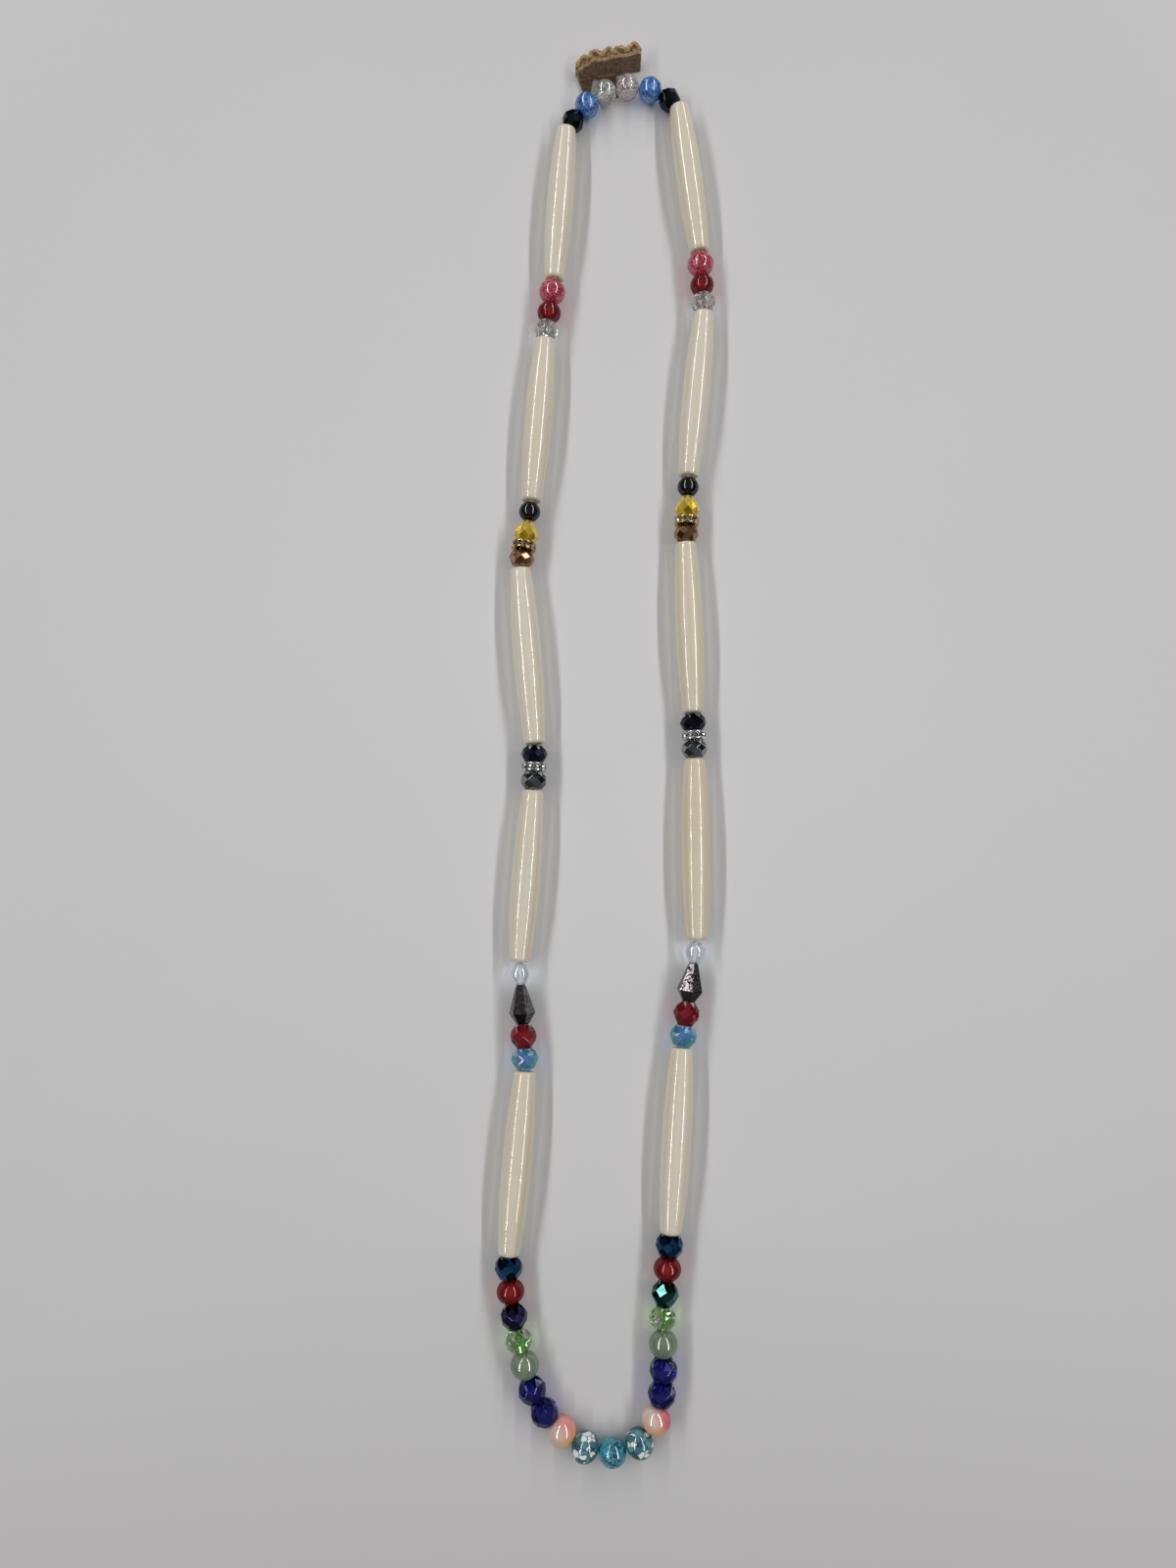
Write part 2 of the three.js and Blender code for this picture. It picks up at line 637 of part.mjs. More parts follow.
const scene = new THREE.Group();
scene.add(buildNecklace());

export default scene;
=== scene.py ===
# %% [markdown]
# # A string of bone hairpipes and beads
# This lesson dresses a finished model of a necklace. The model gives every bead its place on the
# string, and Blender gives it its cut, its glass and its shine. The scene is loaded first, so that
# each bead can be made where the string already holds it.

# %% Load the model
import math

import bmesh
import bpy
import numpy as np
from mathutils import Matrix, Vector, noise


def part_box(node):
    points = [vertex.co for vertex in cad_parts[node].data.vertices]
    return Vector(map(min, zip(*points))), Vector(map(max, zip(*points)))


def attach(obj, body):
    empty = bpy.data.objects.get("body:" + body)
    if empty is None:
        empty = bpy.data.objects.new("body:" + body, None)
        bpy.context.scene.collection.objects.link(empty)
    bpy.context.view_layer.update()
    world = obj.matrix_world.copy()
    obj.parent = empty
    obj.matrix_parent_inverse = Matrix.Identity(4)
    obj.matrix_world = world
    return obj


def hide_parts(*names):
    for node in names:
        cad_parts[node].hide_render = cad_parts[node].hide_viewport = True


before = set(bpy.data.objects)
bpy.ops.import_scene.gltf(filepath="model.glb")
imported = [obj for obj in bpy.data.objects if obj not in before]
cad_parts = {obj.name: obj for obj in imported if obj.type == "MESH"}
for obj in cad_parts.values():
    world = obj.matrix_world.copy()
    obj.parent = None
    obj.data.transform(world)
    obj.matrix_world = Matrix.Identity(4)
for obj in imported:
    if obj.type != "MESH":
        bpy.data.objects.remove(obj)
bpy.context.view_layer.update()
MM = 0.001
print("string nodes:", len(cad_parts))

# %% [markdown]
# ## Where the picture is taken from
# The necklace lies on a table and is seen from right above its middle, from about 31 cm, tilted a
# little to the back. That close, a wide lens is needed to see all of it, and the beads near the
# border look stretched outwards, as they do in any close wide picture. The camera could stand
# further off with a longer lens, but then that stretch would be lost.

# %% The camera
CAMERA_PLACE = Vector((-0.0067, -0.0602, 0.3121))
CAMERA_TILT = math.radians(6.66)
CAMERA_LENS = 24.75
SENSOR_HEIGHT = 36.0
NEAREST_SEEN = 0.01


def in_scene(name, data):
    """An object in the scene for a mesh, a curve, a lamp or a camera."""
    made = bpy.data.objects.new(name, data)
    bpy.context.scene.collection.objects.link(made)
    return made


camera_data = bpy.data.cameras.new("table_camera")
camera_data.sensor_fit = "VERTICAL"
camera_data.sensor_height = SENSOR_HEIGHT
camera_data.lens = CAMERA_LENS
camera_data.clip_start = NEAREST_SEEN
camera = in_scene("table_camera", camera_data)
camera.location = CAMERA_PLACE
camera.rotation_euler = (CAMERA_TILT, 0, 0)
bpy.context.scene.camera = camera
print("the camera is", round(CAMERA_PLACE.z / MM), "mm above the table")

# %% [markdown]
# ## Nodes in a few words
# Every material and every Geometry Nodes tree below is built from the same two steps: add a node
# with its values, and join it to the ones before it. One small helper does both, and a value that
# is a socket becomes a link. The others are short names for the nodes that come back most, which
# keeps each finish short enough to read as a recipe.

# %% Helpers for nodes
def node(tree, kind, inputs=None, **settings):
    made = tree.nodes.new(kind)
    for name, value in settings.items():
        setattr(made, name, value)
    for name, value in (inputs or {}).items():
        if isinstance(value, bpy.types.NodeSocket):
            tree.links.new(value, made.inputs[name])
        else:
            made.inputs[name].default_value = value
    return made


def maths(tree, operation, first, second=0.0):
    return node(tree, "ShaderNodeMath", {0: first, 1: second}, operation=operation).outputs[0]


def vectors(tree, operation, first, second=(0.0, 0.0, 0.0)):
    return node(tree, "ShaderNodeVectorMath", {0: first, 1: second}, operation=operation).outputs[0]


def parts_of(tree, vector):
    return node(tree, "ShaderNodeSeparateXYZ", {0: vector}).outputs


def vector_of(tree, x=0.0, y=0.0, z=0.0):
    return node(tree, "ShaderNodeCombineXYZ", {0: x, 1: y, 2: z}).outputs[0]


def turn_by(tree, share):
    """Cosine and sine of a share of one whole turn."""
    angle = maths(tree, "MULTIPLY", share, math.tau)
    return maths(tree, "COSINE", angle), maths(tree, "SINE", angle)


def remap(tree, value, low, high, new_low=0.0, new_high=1.0):
    inputs = {"Value": value, "From Min": low, "From Max": high, "To Min": new_low, "To Max": new_high}
    return node(tree, "ShaderNodeMapRange", inputs).outputs["Result"]


def blend_colours(tree, share, first, second):
    return node(tree, "ShaderNodeMix", {0: share, 6: first, 7: second}, data_type="RGBA").outputs[2]


def place_in(tree):
    """The place of each point on its object, so that a pattern is fixed to the bead."""
    return node(tree, "ShaderNodeTexCoord").outputs["Object"]


def noise_in(tree, scale, detail, roughness=0.5, output="Fac"):
    inputs = {"Vector": place_in(tree), "Scale": scale, "Detail": detail, "Roughness": roughness}
    return node(tree, "ShaderNodeTexNoise", inputs).outputs[output]


# %% [markdown]
# A finish starts as a Principled BSDF with its plain values set on its own sockets. What changes
# over the surface is worked out before it and fed in. Colours are written as a screen shows them,
# because that is how an eye compares them with a real bead, and turned into linear light once.

# %% Helpers for finishes
def rgb(red, green, blue):
    """A colour as it looks on a screen, 0 to 255, turned into the linear light that shaders use."""
    shares = [channel / 255 for channel in (red, green, blue)]
    linear = [s / 12.92 if s <= 0.04045 else ((s + 0.055) / 1.055) ** 2.4 for s in shares]
    return (*linear, 1.0)


def scaled(colour, share, more=0.0):
    """A colour made darker or lighter."""
    return (*[min(1.0, channel * share + more) for channel in colour[:3]], 1.0)


def new_finish(name, **constants):
    """A material with its shader's plain values set, such as Roughness or Coat_Weight."""
    material = bpy.data.materials.new(name)
    material.use_nodes = True
    tree = material.node_tree
    shader = tree.nodes["Principled BSDF"]
    for label, value in constants.items():
        shader.inputs[label.replace("_", " ")].default_value = value
    return material, tree, shader


def feed(tree, shader, sockets):
    for name, value in sockets.items():
        tree.links.new(value, shader.inputs[name])


print("a screen's middle grey is", round(rgb(128, 128, 128)[0], 3), "of white in linear light")

# %% [markdown]
# ## The table and the light
# The table is a pale top, painted darker towards the front and towards its far edges: painted shade.
# Two long ceiling tubes light it from the left and from the right, and that is what gives each round
# bead its pair of curved white lines, and each hairpipe a soft grey shadow on both sides. One big
# soft lamp would look cleaner but would lose both. The tubes are narrow, so the shadows keep an edge,
# and the ceiling between them fills them. The walls are darker than the ceiling. Without that, the
# rim of every bead would shine white and look thin.

# %% The table and the light
TABLE_SIZE = 6.0
TABLE_COLOUR = rgb(203, 202, 203)
TABLE_PAINTED_SHADE = rgb(184, 182, 182)
NEAR_PAINTED_SHADE = (-0.27, -0.11)
FAR_PAINTED_SHADE = (0.04, 0.25)
FAR_PAINTED_SHADE_DEPTH = 0.45
TUBE_ANGLE = math.radians(41)
TUBE_DISTANCE = 1.5
TUBE_LENGTH = 4.4
TUBE_WIDTH = 0.07
TUBE_BACK = 1.3
TUBE_POWER = 25.5
ROOM_OVERHEAD = 0.25
ROOM_WALLS = 0.05
ROOM_COLOUR = rgb(246, 245, 243)

half = TABLE_SIZE / 2
table_corners = [(-half, -half, 0), (half, -half, 0), (half, half, 0), (-half, half, 0)]
table_mesh = bpy.data.meshes.new("table_top")
table_mesh.from_pydata(table_corners, [], [(0, 1, 2, 3)])
table = in_scene("table_top", table_mesh)

table_finish, tree, surface = new_finish("table_finish", Roughness=0.6, Specular_IOR_Level=0.25)
plain = blend_colours(tree, noise_in(tree, 18.0, 4.0), TABLE_COLOUR, scaled(TABLE_COLOUR, 1.03))
# Painted shade: the colour goes darker towards the front, and darker away from the middle.
near = remap(tree, parts_of(tree, place_in(tree))["Y"], *NEAR_PAINTED_SHADE, 1.0, 0.0)
from_middle = node(tree, "ShaderNodeVectorMath", {0: place_in(tree)}, operation="LENGTH").outputs["Value"]
far = remap(tree, from_middle, *FAR_PAINTED_SHADE, 0.0, FAR_PAINTED_SHADE_DEPTH)
shade = maths(tree, "MAXIMUM", near, far)
feed(tree, surface, {"Base Color": blend_colours(tree, shade, plain, TABLE_PAINTED_SHADE)})
table_mesh.materials.append(table_finish)

room = bpy.data.worlds.new("pale_room")
bpy.context.scene.world = room
room.use_nodes = True
tree = room.node_tree
outward = node(tree, "ShaderNodeTexCoord").outputs["Generated"]
background = tree.nodes["Background"]
background.inputs["Color"].default_value = ROOM_COLOUR
brightness = remap(tree, parts_of(tree, outward)["Z"], 0.0, 1.0, ROOM_WALLS, ROOM_OVERHEAD)
feed(tree, background, {"Strength": brightness})

for side_name, side in (("left", -1), ("right", 1)):
    tube = bpy.data.lights.new(f"tube_{side_name}", "AREA")
    tube.shape = "RECTANGLE"
    tube.size = TUBE_WIDTH
    tube.size_y = TUBE_LENGTH
    tube.energy = TUBE_POWER
    tube_object = in_scene(f"tube_{side_name}", tube)
    across = side * math.sin(TUBE_ANGLE) * TUBE_DISTANCE
    tube_object.location = (across, TUBE_BACK, math.cos(TUBE_ANGLE) * TUBE_DISTANCE)
    tube_object.rotation_euler = (0, side * TUBE_ANGLE, 0)
bpy.context.scene.view_settings.view_transform = "Standard"
print("camera, table and two tubes are in place")

# %% [markdown]
# ## Reading the string
# Each node of the model is one bead, one hairpipe or one group of spacer beads. A turned or cut
# solid is the same all round its hole, so the direction in which its corners spread differently
# from the other two is the direction of its hole. Long nodes show it best. A single bead takes it
# from its two neighbours on the string, as a real bead does.

# %% Where each node lies
FRONT_TO_BACK = [
    "mosaic_stone", "pink_stone", "cobalt_front", "cobalt_back", "aventurine", "light_green",
    "dark_iris", "red_oval", "blue_iris", "hairpipe_1", "spacer_hematite", "hairpipe_2",
    "spacer_silver", "hairpipe_3", "spacer_gold", "hairpipe_4", "spacer_rose", "hairpipe_5",
    "dark_luster", "blue_crackle", "clear_crackle",
]


def points_of(mesh, kind="co"):
    """The places or the normals of a mesh's vertices, one row for each."""
    values = np.empty(len(mesh.vertices) * 3)
    mesh.vertices.foreach_get(kind, values)
    return values.reshape(-1, 3)


def long_axis(name):
    corners = points_of(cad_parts[name].data)
    from_centre = corners - corners.mean(axis=0)
    spread = np.linalg.svd(from_centre, full_matrices=False)[2][0]
    axis = Vector(spread) if spread[1] > 0 else -Vector(spread)
    along = from_centre @ np.array(axis)
    middle = Vector(corners.mean(axis=0)) + axis * (along.max() + along.min()) / 2
    return middle, axis.normalized(), along.max() - along.min()


def middle_of(name):
    low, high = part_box(name)
    return (low + high) / 2


def is_long(name):
    return name.startswith(("hairpipe", "spacer"))


def nearest_end(name, point):
    """The point nearest to another where a node's hole comes out, or just a single bead's middle."""
    if not is_long(name):
        return middle_of(name)
    middle, axis, length = long_axis(name)
    ends = [middle - axis * length / 2, middle + axis * length / 2]
    return min(ends, key=lambda end: (end - point).length)


def joint_between(name, neighbour):
    """Where two neighbours meet: half way between them, or the hole of the long one."""
    first, second = nearest_end(name, middle_of(neighbour)), nearest_end(neighbour, middle_of(name))
    if is_long(name):
        return first
    if is_long(neighbour):
        return second
    return (first + second) / 2


left_side = [f"{name}_left" for name in FRONT_TO_BACK]
right_side = [f"{name}_right" for name in FRONT_TO_BACK]
loop = ["aqua_centre", *left_side, *reversed(right_side)]
joints = [joint_between(name, loop[(i + 1) % len(loop)]) for i, name in enumerate(loop)]


def frame_of(name):
    """Middle and direction of a node, with the direction running to the back of the necklace."""
    if is_long(name):
        return long_axis(name)[:2]
    i = loop.index(name)
    axis = (joints[i] - joints[i - 1]).normalized()
    axis.z = 0
    return middle_of(name), (-axis if name.endswith("_right") else axis).normalized()


string_length = sum((joints[i] - joints[i - 1]).length for i in range(len(joints)))
print(f"the string is {string_length / MM:.0f} mm long and has {len(loop)} nodes")

# %% [markdown]
# ## Pieces as plain meshes
# Every bead is made round its own hole along X and is then laid on the string by moving its
# vertices, so that the finished object sits at the origin with its place in its mesh.

# %% Laying a piece on the string
def laying(name, shift=0.0):
    """The matrix that takes a bead made along X to its place, shifted along the string."""
    middle, axis = frame_of(name)
    sideways = Vector((0, 0, 1)).cross(axis).normalized()
    turn = Matrix((axis, sideways, axis.cross(sideways))).transposed().to_4x4()
    return Matrix.Translation(middle + axis * shift) @ turn


def finished(name, mesh, material, stands_for):
    """Makes the object of a finished mesh, puts it on the root body and hides the part that it stands for.
    """
    piece = in_scene(name, mesh)
    mesh.materials.clear()
    mesh.materials.append(material)
    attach(piece, "root")
    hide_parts(stands_for)


def evaluated_mesh(source):
    """The mesh that an object's modifiers make, as a plain mesh of its own."""
    depsgraph = bpy.context.evaluated_depsgraph_get()
    mesh = bpy.data.meshes.new_from_object(source.evaluated_get(depsgraph), depsgraph=depsgraph)
    bpy.data.objects.remove(source)
    return mesh


def mesh_of(builder, name, sort_normals=True):
    """The mesh of a finished builder, with its normals turned outwards."""
    if sort_normals:
        bmesh.ops.recalc_face_normals(builder, faces=builder.faces)
    mesh = bpy.data.meshes.new(name)
    builder.to_mesh(mesh)
    builder.free()
    return mesh


def mark(mesh, name, values, domain="FACE"):
    """Keeps one number for each face or vertex of a mesh, for its material to read."""
    attribute = mesh.attributes.new(name, "FLOAT", domain)
    attribute.data.foreach_set("value", np.asarray(values, np.float32))


print("first hairpipe lies at", [round(c / MM, 1) for c in laying("hairpipe_1_left").translation])

# %% [markdown]
# ## Geometry Nodes trees
# All four trees of this lesson take a source, a few named sizes and a finish, and end in the same
# three nodes. Instances are made real, because the finished piece has to be one plain mesh. A size
# is set by the identifier that stands behind its name, since that is what a modifier stores.

# %% The start, the end and the run of a tree
def geometry_tree(name, source, sizes, result):
    """A tree with its inputs. A whole number makes a counting input, and any other a size."""
    tree = bpy.data.node_groups.new(name, "GeometryNodeTree")
    face = tree.interface
    face.new_socket(source, in_out="INPUT", socket_type="NodeSocketGeometry")
    for label, value in sizes.items():
        kind = "NodeSocketInt" if isinstance(value, int) else "NodeSocketFloat"
        face.new_socket(label, in_out="INPUT", socket_type=kind).default_value = value
    face.new_socket("Finish", in_out="INPUT", socket_type="NodeSocketMaterial")
    face.new_socket(result, in_out="OUTPUT", socket_type="NodeSocketGeometry")
    return tree, node(tree, "NodeGroupInput").outputs


def end_tree(tree, start, geometry, result, smooth=True):
    if smooth:
        geometry = node(tree, "GeometryNodeSetShadeSmooth", {"Geometry": geometry}).outputs[0]
    real = node(tree, "GeometryNodeRealizeInstances", {"Geometry": geometry}).outputs[0]
    coated = node(tree, "GeometryNodeSetMaterial", {"Geometry": real, "Material": start["Finish"]})
    node(tree, "NodeGroupOutput", {result: coated.outputs[0]})
    return tree


def through(tree, source, inputs):
    """Runs a tree on an object and gives the plain mesh that comes out of it."""
    modifier = source.modifiers.new("tree", "NODES")
    modifier.node_group = tree
    identifiers = {socket.name: socket.identifier for socket in tree.interface.items_tree}
    for name, value in inputs.items():
        modifier[identifiers[name]] = value
    return evaluated_mesh(source)


def circle_in(tree, steps, radius):
    inputs = {"Resolution": steps, "Radius": radius}
    return node(tree, "GeometryNodeCurvePrimitiveCircle", inputs).outputs["Curve"]


def swept_in(tree, curve, profile):
    return node(tree, "GeometryNodeCurveToMesh", {"Curve": curve, "Profile Curve": profile}).outputs[0]


def curve_through(points):
    """A closed curve through points in metres."""
    curve = bpy.data.curves.new("path", "CURVE")
    curve.dimensions = "3D"
    spline = curve.splines.new("POLY")
    spline.points.add(len(points) - 1)
    for spot, point in zip(spline.points, points):
        spot.co = (*point, 1)
    spline.use_cyclic_u = True
    return in_scene("path", curve)


# %% [markdown]
# ## Turning on a lathe
# Round beads and hairpipes are turned: one section runs along the outside, over the rim and back
# through the hole, and is swept round the string. A Spin in edit mode would do it once, but a tree
# does it for every section in the same way. A grid is bent: its first direction follows the section
# and its second goes round. The tree also keeps both as a UV map, so that streaks can run along
# the bone later.

# %% The lathe tree
MERGE_DISTANCE = 1e-6


def lathe_tree():
    steps = {"Steps Along": 64, "Steps Round": 48}
    tree, start = geometry_tree("turn_on_lathe", "Section", steps, "Turned")
    grid = node(tree, "GeometryNodeMeshGrid", {
        "Size X": 1.0, "Size Y": 1.0,
        "Vertices X": start["Steps Along"], "Vertices Y": start["Steps Round"],
    })
    spot = node(tree, "GeometryNodeInputPosition").outputs["Position"]
    shifted = vectors(tree, "ADD", spot, (0.5, 0.5, 0))
    along, around = parts_of(tree, shifted)[:2]
    reading = {"Curves": start["Section"], "Factor": along}
    sample = node(tree, "GeometryNodeSampleCurve", reading, mode="FACTOR")
    section_x, out = parts_of(tree, sample.outputs["Position"])[:2]
    cosine, sine = turn_by(tree, around)
    turned = vector_of(
        tree, section_x, maths(tree, "MULTIPLY", out, cosine), maths(tree, "MULTIPLY", out, sine))
    marked = node(tree, "GeometryNodeStoreNamedAttribute", {
        "Geometry": grid.outputs["Mesh"], "Name": "string_uv", "Value": shifted,
    }, data_type="FLOAT2", domain="CORNER")
    bent = node(tree, "GeometryNodeSetPosition", {"Geometry": marked.outputs[0], "Position": turned})
    closed = node(tree, "GeometryNodeMergeByDistance", {
        "Geometry": bent.outputs[0], "Distance": MERGE_DISTANCE,
    })
    outward = node(tree, "GeometryNodeFlipFaces", {"Mesh": closed.outputs[0]})
    return end_tree(tree, start, outward.outputs[0], "Turned")


LATHE = lathe_tree()


def turned_mesh(section, along, around, material):
    """Turns a closed section: x along the string and y out from it, in millimetres."""
    path = curve_through([(x * MM, y * MM, 0) for x, y in section])
    return through(LATHE, path, {"Steps Along": along, "Steps Round": around, "Finish": material})


print("nodes in the lathe tree:", len(LATHE.nodes))

# %% [markdown]
# ## Shared effects as shader groups
# Three effects come back on many finishes, so each is a group with its own inputs: streaks that run
# along the string, flakes that break up the inside of crackled glass, and the fine wear of a
# polished surface. A group gives out only masks, colours and normals. The glass, metal or bone
# itself stays in the material, where an exporter can read it.

# %% Shader groups
WARP = 0.002


def shader_group(name, inputs, outputs):
    tree = bpy.data.node_groups.new(name, "ShaderNodeTree")
    face = tree.interface
    for label, value in inputs.items():
        face.new_socket(label, in_out="INPUT", socket_type="NodeSocketFloat").default_value = value
    for label, kind in outputs.items():
        face.new_socket(label, in_out="OUTPUT", socket_type=f"NodeSocket{kind}")
    return tree, node(tree, "NodeGroupInput").outputs


def warped_place(tree, scale, detail):
    """Places pushed about by noise, so that the cells read from them have crooked borders."""
    push = vectors(tree, "MULTIPLY", noise_in(tree, scale, detail, output="Color"), (WARP, WARP, WARP))
    return vectors(tree, "ADD", place_in(tree), push)


def cells_in(tree, spot, scale):
    """A chance colour for each cell, and the distance to the cell's border."""
    inputs = {"Vector": spot, "Scale": scale}
    cells = node(tree, "ShaderNodeTexVoronoi", inputs)
    border = node(tree, "ShaderNodeTexVoronoi", inputs, feature="DISTANCE_TO_EDGE")
    return cells.outputs["Color"], border.outputs["Distance"]


def attribute_in(tree, name, output="Fac"):
    return node(tree, "ShaderNodeAttribute", attribute_name=name).outputs[output]


def streak_group():
    inputs = {"Scale": 9.0, "Stretch": 0.12, "Low": 0.4, "High": 0.65}
    tree, start = shader_group("streaks_along_string", inputs, {"Mask": "Float"})
    along, around = parts_of(tree, attribute_in(tree, "string_uv", "Vector"))[:2]
    ring = vector_of(tree, *turn_by(tree, around), maths(tree, "MULTIPLY", along, start["Stretch"]))
    grain = node(tree, "ShaderNodeTexNoise", {
        "Vector": vectors(tree, "ADD", ring, vectors(tree, "MULTIPLY", place_in(tree), (2.0, 2.0, 2.0))),
        "Scale": start["Scale"], "Detail": 5.0, "Roughness": 0.6,
    }).outputs["Fac"]
    node(tree, "NodeGroupOutput", {"Mask": remap(tree, grain, start["Low"], start["High"])})
    return tree


def flake_group():
    outputs = {"Tone": "Float", "Edge": "Float", "Normal": "Vector"}
    tree, start = shader_group("flakes_inside", {"Scale": 900.0, "Depth": 0.5}, outputs)
    colours, border = cells_in(tree, warped_place(tree, 420.0, 2.0), start["Scale"])
    lean = node(tree, "ShaderNodeVectorMath", {
        0: vectors(tree, "SUBTRACT", colours, (0.5, 0.5, 0.5)), "Scale": start["Depth"],
    }, operation="SCALE").outputs[0]
    surface_normal = node(tree, "ShaderNodeNewGeometry").outputs["Normal"]
    node(tree, "NodeGroupOutput", {
        "Tone": node(tree, "ShaderNodeSeparateColor", {0: colours}).outputs[0],
        "Edge": remap(tree, border, 0.0, 0.07, 1.0, 0.0),
        "Normal": vectors(tree, "NORMALIZE", vectors(tree, "ADD", surface_normal, lean)),
    })
    return tree


def wear_group():
    inputs = {"Scale": 2500.0, "Smooth": 0.05, "Worn": 0.2}
    tree, start = shader_group("polish_wear", inputs, {"Roughness": "Float", "Height": "Float"})
    smudge = noise_in(tree, 350.0, 3.0)
    node(tree, "NodeGroupOutput", {
        "Roughness": remap(tree, smudge, 0.35, 0.7, start["Smooth"], start["Worn"]),
        "Height": noise_in(tree, start["Scale"], 4.0),
    })
    return tree


STREAKS = streak_group()
FLAKES = flake_group()
WEAR = wear_group()


def grouped(tree, shared, **inputs):
    return node(tree, "ShaderNodeGroup", inputs, node_tree=shared).outputs


print("shared effects:", [shared.name for shared in (STREAKS, FLAKES, WEAR)])

# %% [markdown]
# Four more effects hang on the shader itself: a fine bump, the wear of a polish, a clear skin that
# shows the lamps, and a shadow that lets coloured light through. The skin fades towards the rim of
# a bead, where it would mirror the table, and light that goes through a bead is bent away there,
# so the shadow is darker under the rim than under the middle.

# %% Bump, polish, gloss and coloured shadow
def bumped(tree, shader, height, strength, depth, invert=False):
    inputs = {"Height": height, "Strength": strength, "Distance": depth}
    feed(tree, shader, {"Normal": node(tree, "ShaderNodeBump", inputs, invert=invert).outputs[0]})


def polished(tree, shader, smooth, worn, bump=0.0):
    """Fine wear on a polished surface, in its roughness and as a slight bump."""
    wear = grouped(tree, WEAR, Smooth=smooth, Worn=worn)
    feed(tree, shader, {"Roughness": wear["Roughness"]})
    if bump:
        bumped(tree, shader, wear["Height"], bump, 0.0001)


def facing_in(tree):
    """0 where a surface faces the eye, and 1 at its rim."""
    return node(tree, "ShaderNodeLayerWeight", {"Blend": 0.5}).outputs["Facing"]


def gloss(tree, shader, weight, bending=1.7):
    """A clear outer skin that mirrors the lamps, and fades towards the rim."""
    feed(tree, shader, {"Coat Weight": remap(tree, facing_in(tree), 0.25, 0.7, weight, weight * 0.15)})
    shader.inputs["Coat IOR"].default_value = bending


def coloured_shadow(tree, shader, colour, rim_share=0.3):
    """Lets tinted light through to the shadow, less of it at the rim than in the middle."""
    rim = remap(tree, facing_in(tree), 0.0, 0.4)
    through_colour = blend_colours(tree, rim, colour, scaled(colour, rim_share))
    clear = node(tree, "ShaderNodeBsdfTransparent", {"Color": through_colour})
    ray = node(tree, "ShaderNodeLightPath").outputs["Is Shadow Ray"]
    both = node(tree, "ShaderNodeMixShader", {0: ray, 1: shader.outputs[0], 2: clear.outputs[0]})
    feed(tree, tree.nodes["Material Output"], {"Surface": both.outputs[0]})


# %% [markdown]
# ## Bone
# Hairpipes are cut from long bone and polished. They are ivory white, a little creamier along some
# streaks, with a soft gloss that shows the ceiling tubes as thin bright lines. Each pipe has its own
# warmth. A little light sinks in, so their shadow side stays warm.

# %% The bone finish
BONE_PALE = rgb(213, 206, 190)
BONE_CREAM = rgb(203, 191, 163)
BONE_DEEP = rgb(205, 197, 177)
BONE_SHADOW = (0.72, 0.69, 0.64, 1.0)


def bone_finish(name, warmth):
    material, tree, shader = new_finish(
        name, Specular_IOR_Level=0.3, Coat_Roughness=0.03, Subsurface_Weight=0.15, Subsurface_Scale=0.002,
    )
    fine = grouped(tree, STREAKS, Scale=5.0, Stretch=0.5, Low=0.42, High=0.7)["Mask"]
    broad = grouped(tree, STREAKS, Scale=1.3, Stretch=0.3, Low=0.45 - warmth, High=0.75 - warmth)["Mask"]
    base = blend_colours(tree, fine, BONE_PALE, BONE_DEEP)
    feed(tree, shader, {"Base Color": blend_colours(tree, broad, base, BONE_CREAM)})
    polished(tree, shader, 0.3, 0.42)
    gloss(tree, shader, 0.9, 1.6)
    coloured_shadow(tree, shader, BONE_SHADOW)
    return material


# %% [markdown]
# ## Hairpipes
# A hairpipe is thickest over a short level stretch in its middle and narrows in a soft curve to
# each rim. Its section is worked out from four sizes, with the rim rounded and the hole drilled
# through. The lathe tree does the rest.

# %% The ten hairpipes
PIPE_MIDDLE = 8.3
PIPE_END = 6.0
PIPE_LEVEL = 12.0
PIPE_RIM = 0.5
PIPE_BORE = 2.8
PIPE_BORE_EDGE = 0.15
PIPE_CURVE = 1.5
PIPE_STEPS = 28
PIPE_GRID = (140, 65)
PIPE_WARMTH = {
    "hairpipe_1_left": 0.04, "hairpipe_1_right": -0.06, "hairpipe_2_left": -0.02, "hairpipe_2_right": 0.1,
    "hairpipe_3_left": -0.08, "hairpipe_3_right": 0.06, "hairpipe_4_left": 0.0, "hairpipe_4_right": -0.06,
    "hairpipe_5_left": -0.03, "hairpipe_5_right": 0.05,
}


def arc(centre, radius, start, end, steps=5):
    """Points on a circle round a centre, with the angles in degrees."""
    angles = [math.radians(start + (end - start) * i / steps) for i in range(steps + 1)]
    return [(centre[0] + radius * math.cos(a), centre[1] + radius * math.sin(a)) for a in angles]


def hole_through(length, bore, edge):
    """The part of a section that runs back through the hole, with the edges broken."""
    end, out = length / 2, bore / 2
    return [(end, out + edge), (end - edge, out), (-end + edge, out), (-end, out + edge)]


def pipe_radius(along, length):
    level = PIPE_LEVEL / 2
    share = max(0.0, abs(along) - level) / (length / 2 - PIPE_RIM - level)
    return (PIPE_END + (PIPE_MIDDLE - PIPE_END) * (1 - min(share, 1.0) ** PIPE_CURVE)) / 2


def pipe_section(length):
    side = length / 2 - PIPE_RIM
    front_rim = arc((-side, PIPE_END / 2 - PIPE_RIM), PIPE_RIM, 180, 90)
    back_rim = arc((side, PIPE_END / 2 - PIPE_RIM), PIPE_RIM, 90, 0)
    places = [side * (2 * i / PIPE_STEPS - 1) for i in range(1, PIPE_STEPS)]
    wall = [(along, pipe_radius(along, length)) for along in places]
    return front_rim + wall + back_rim + hole_through(length, PIPE_BORE, PIPE_BORE_EDGE)


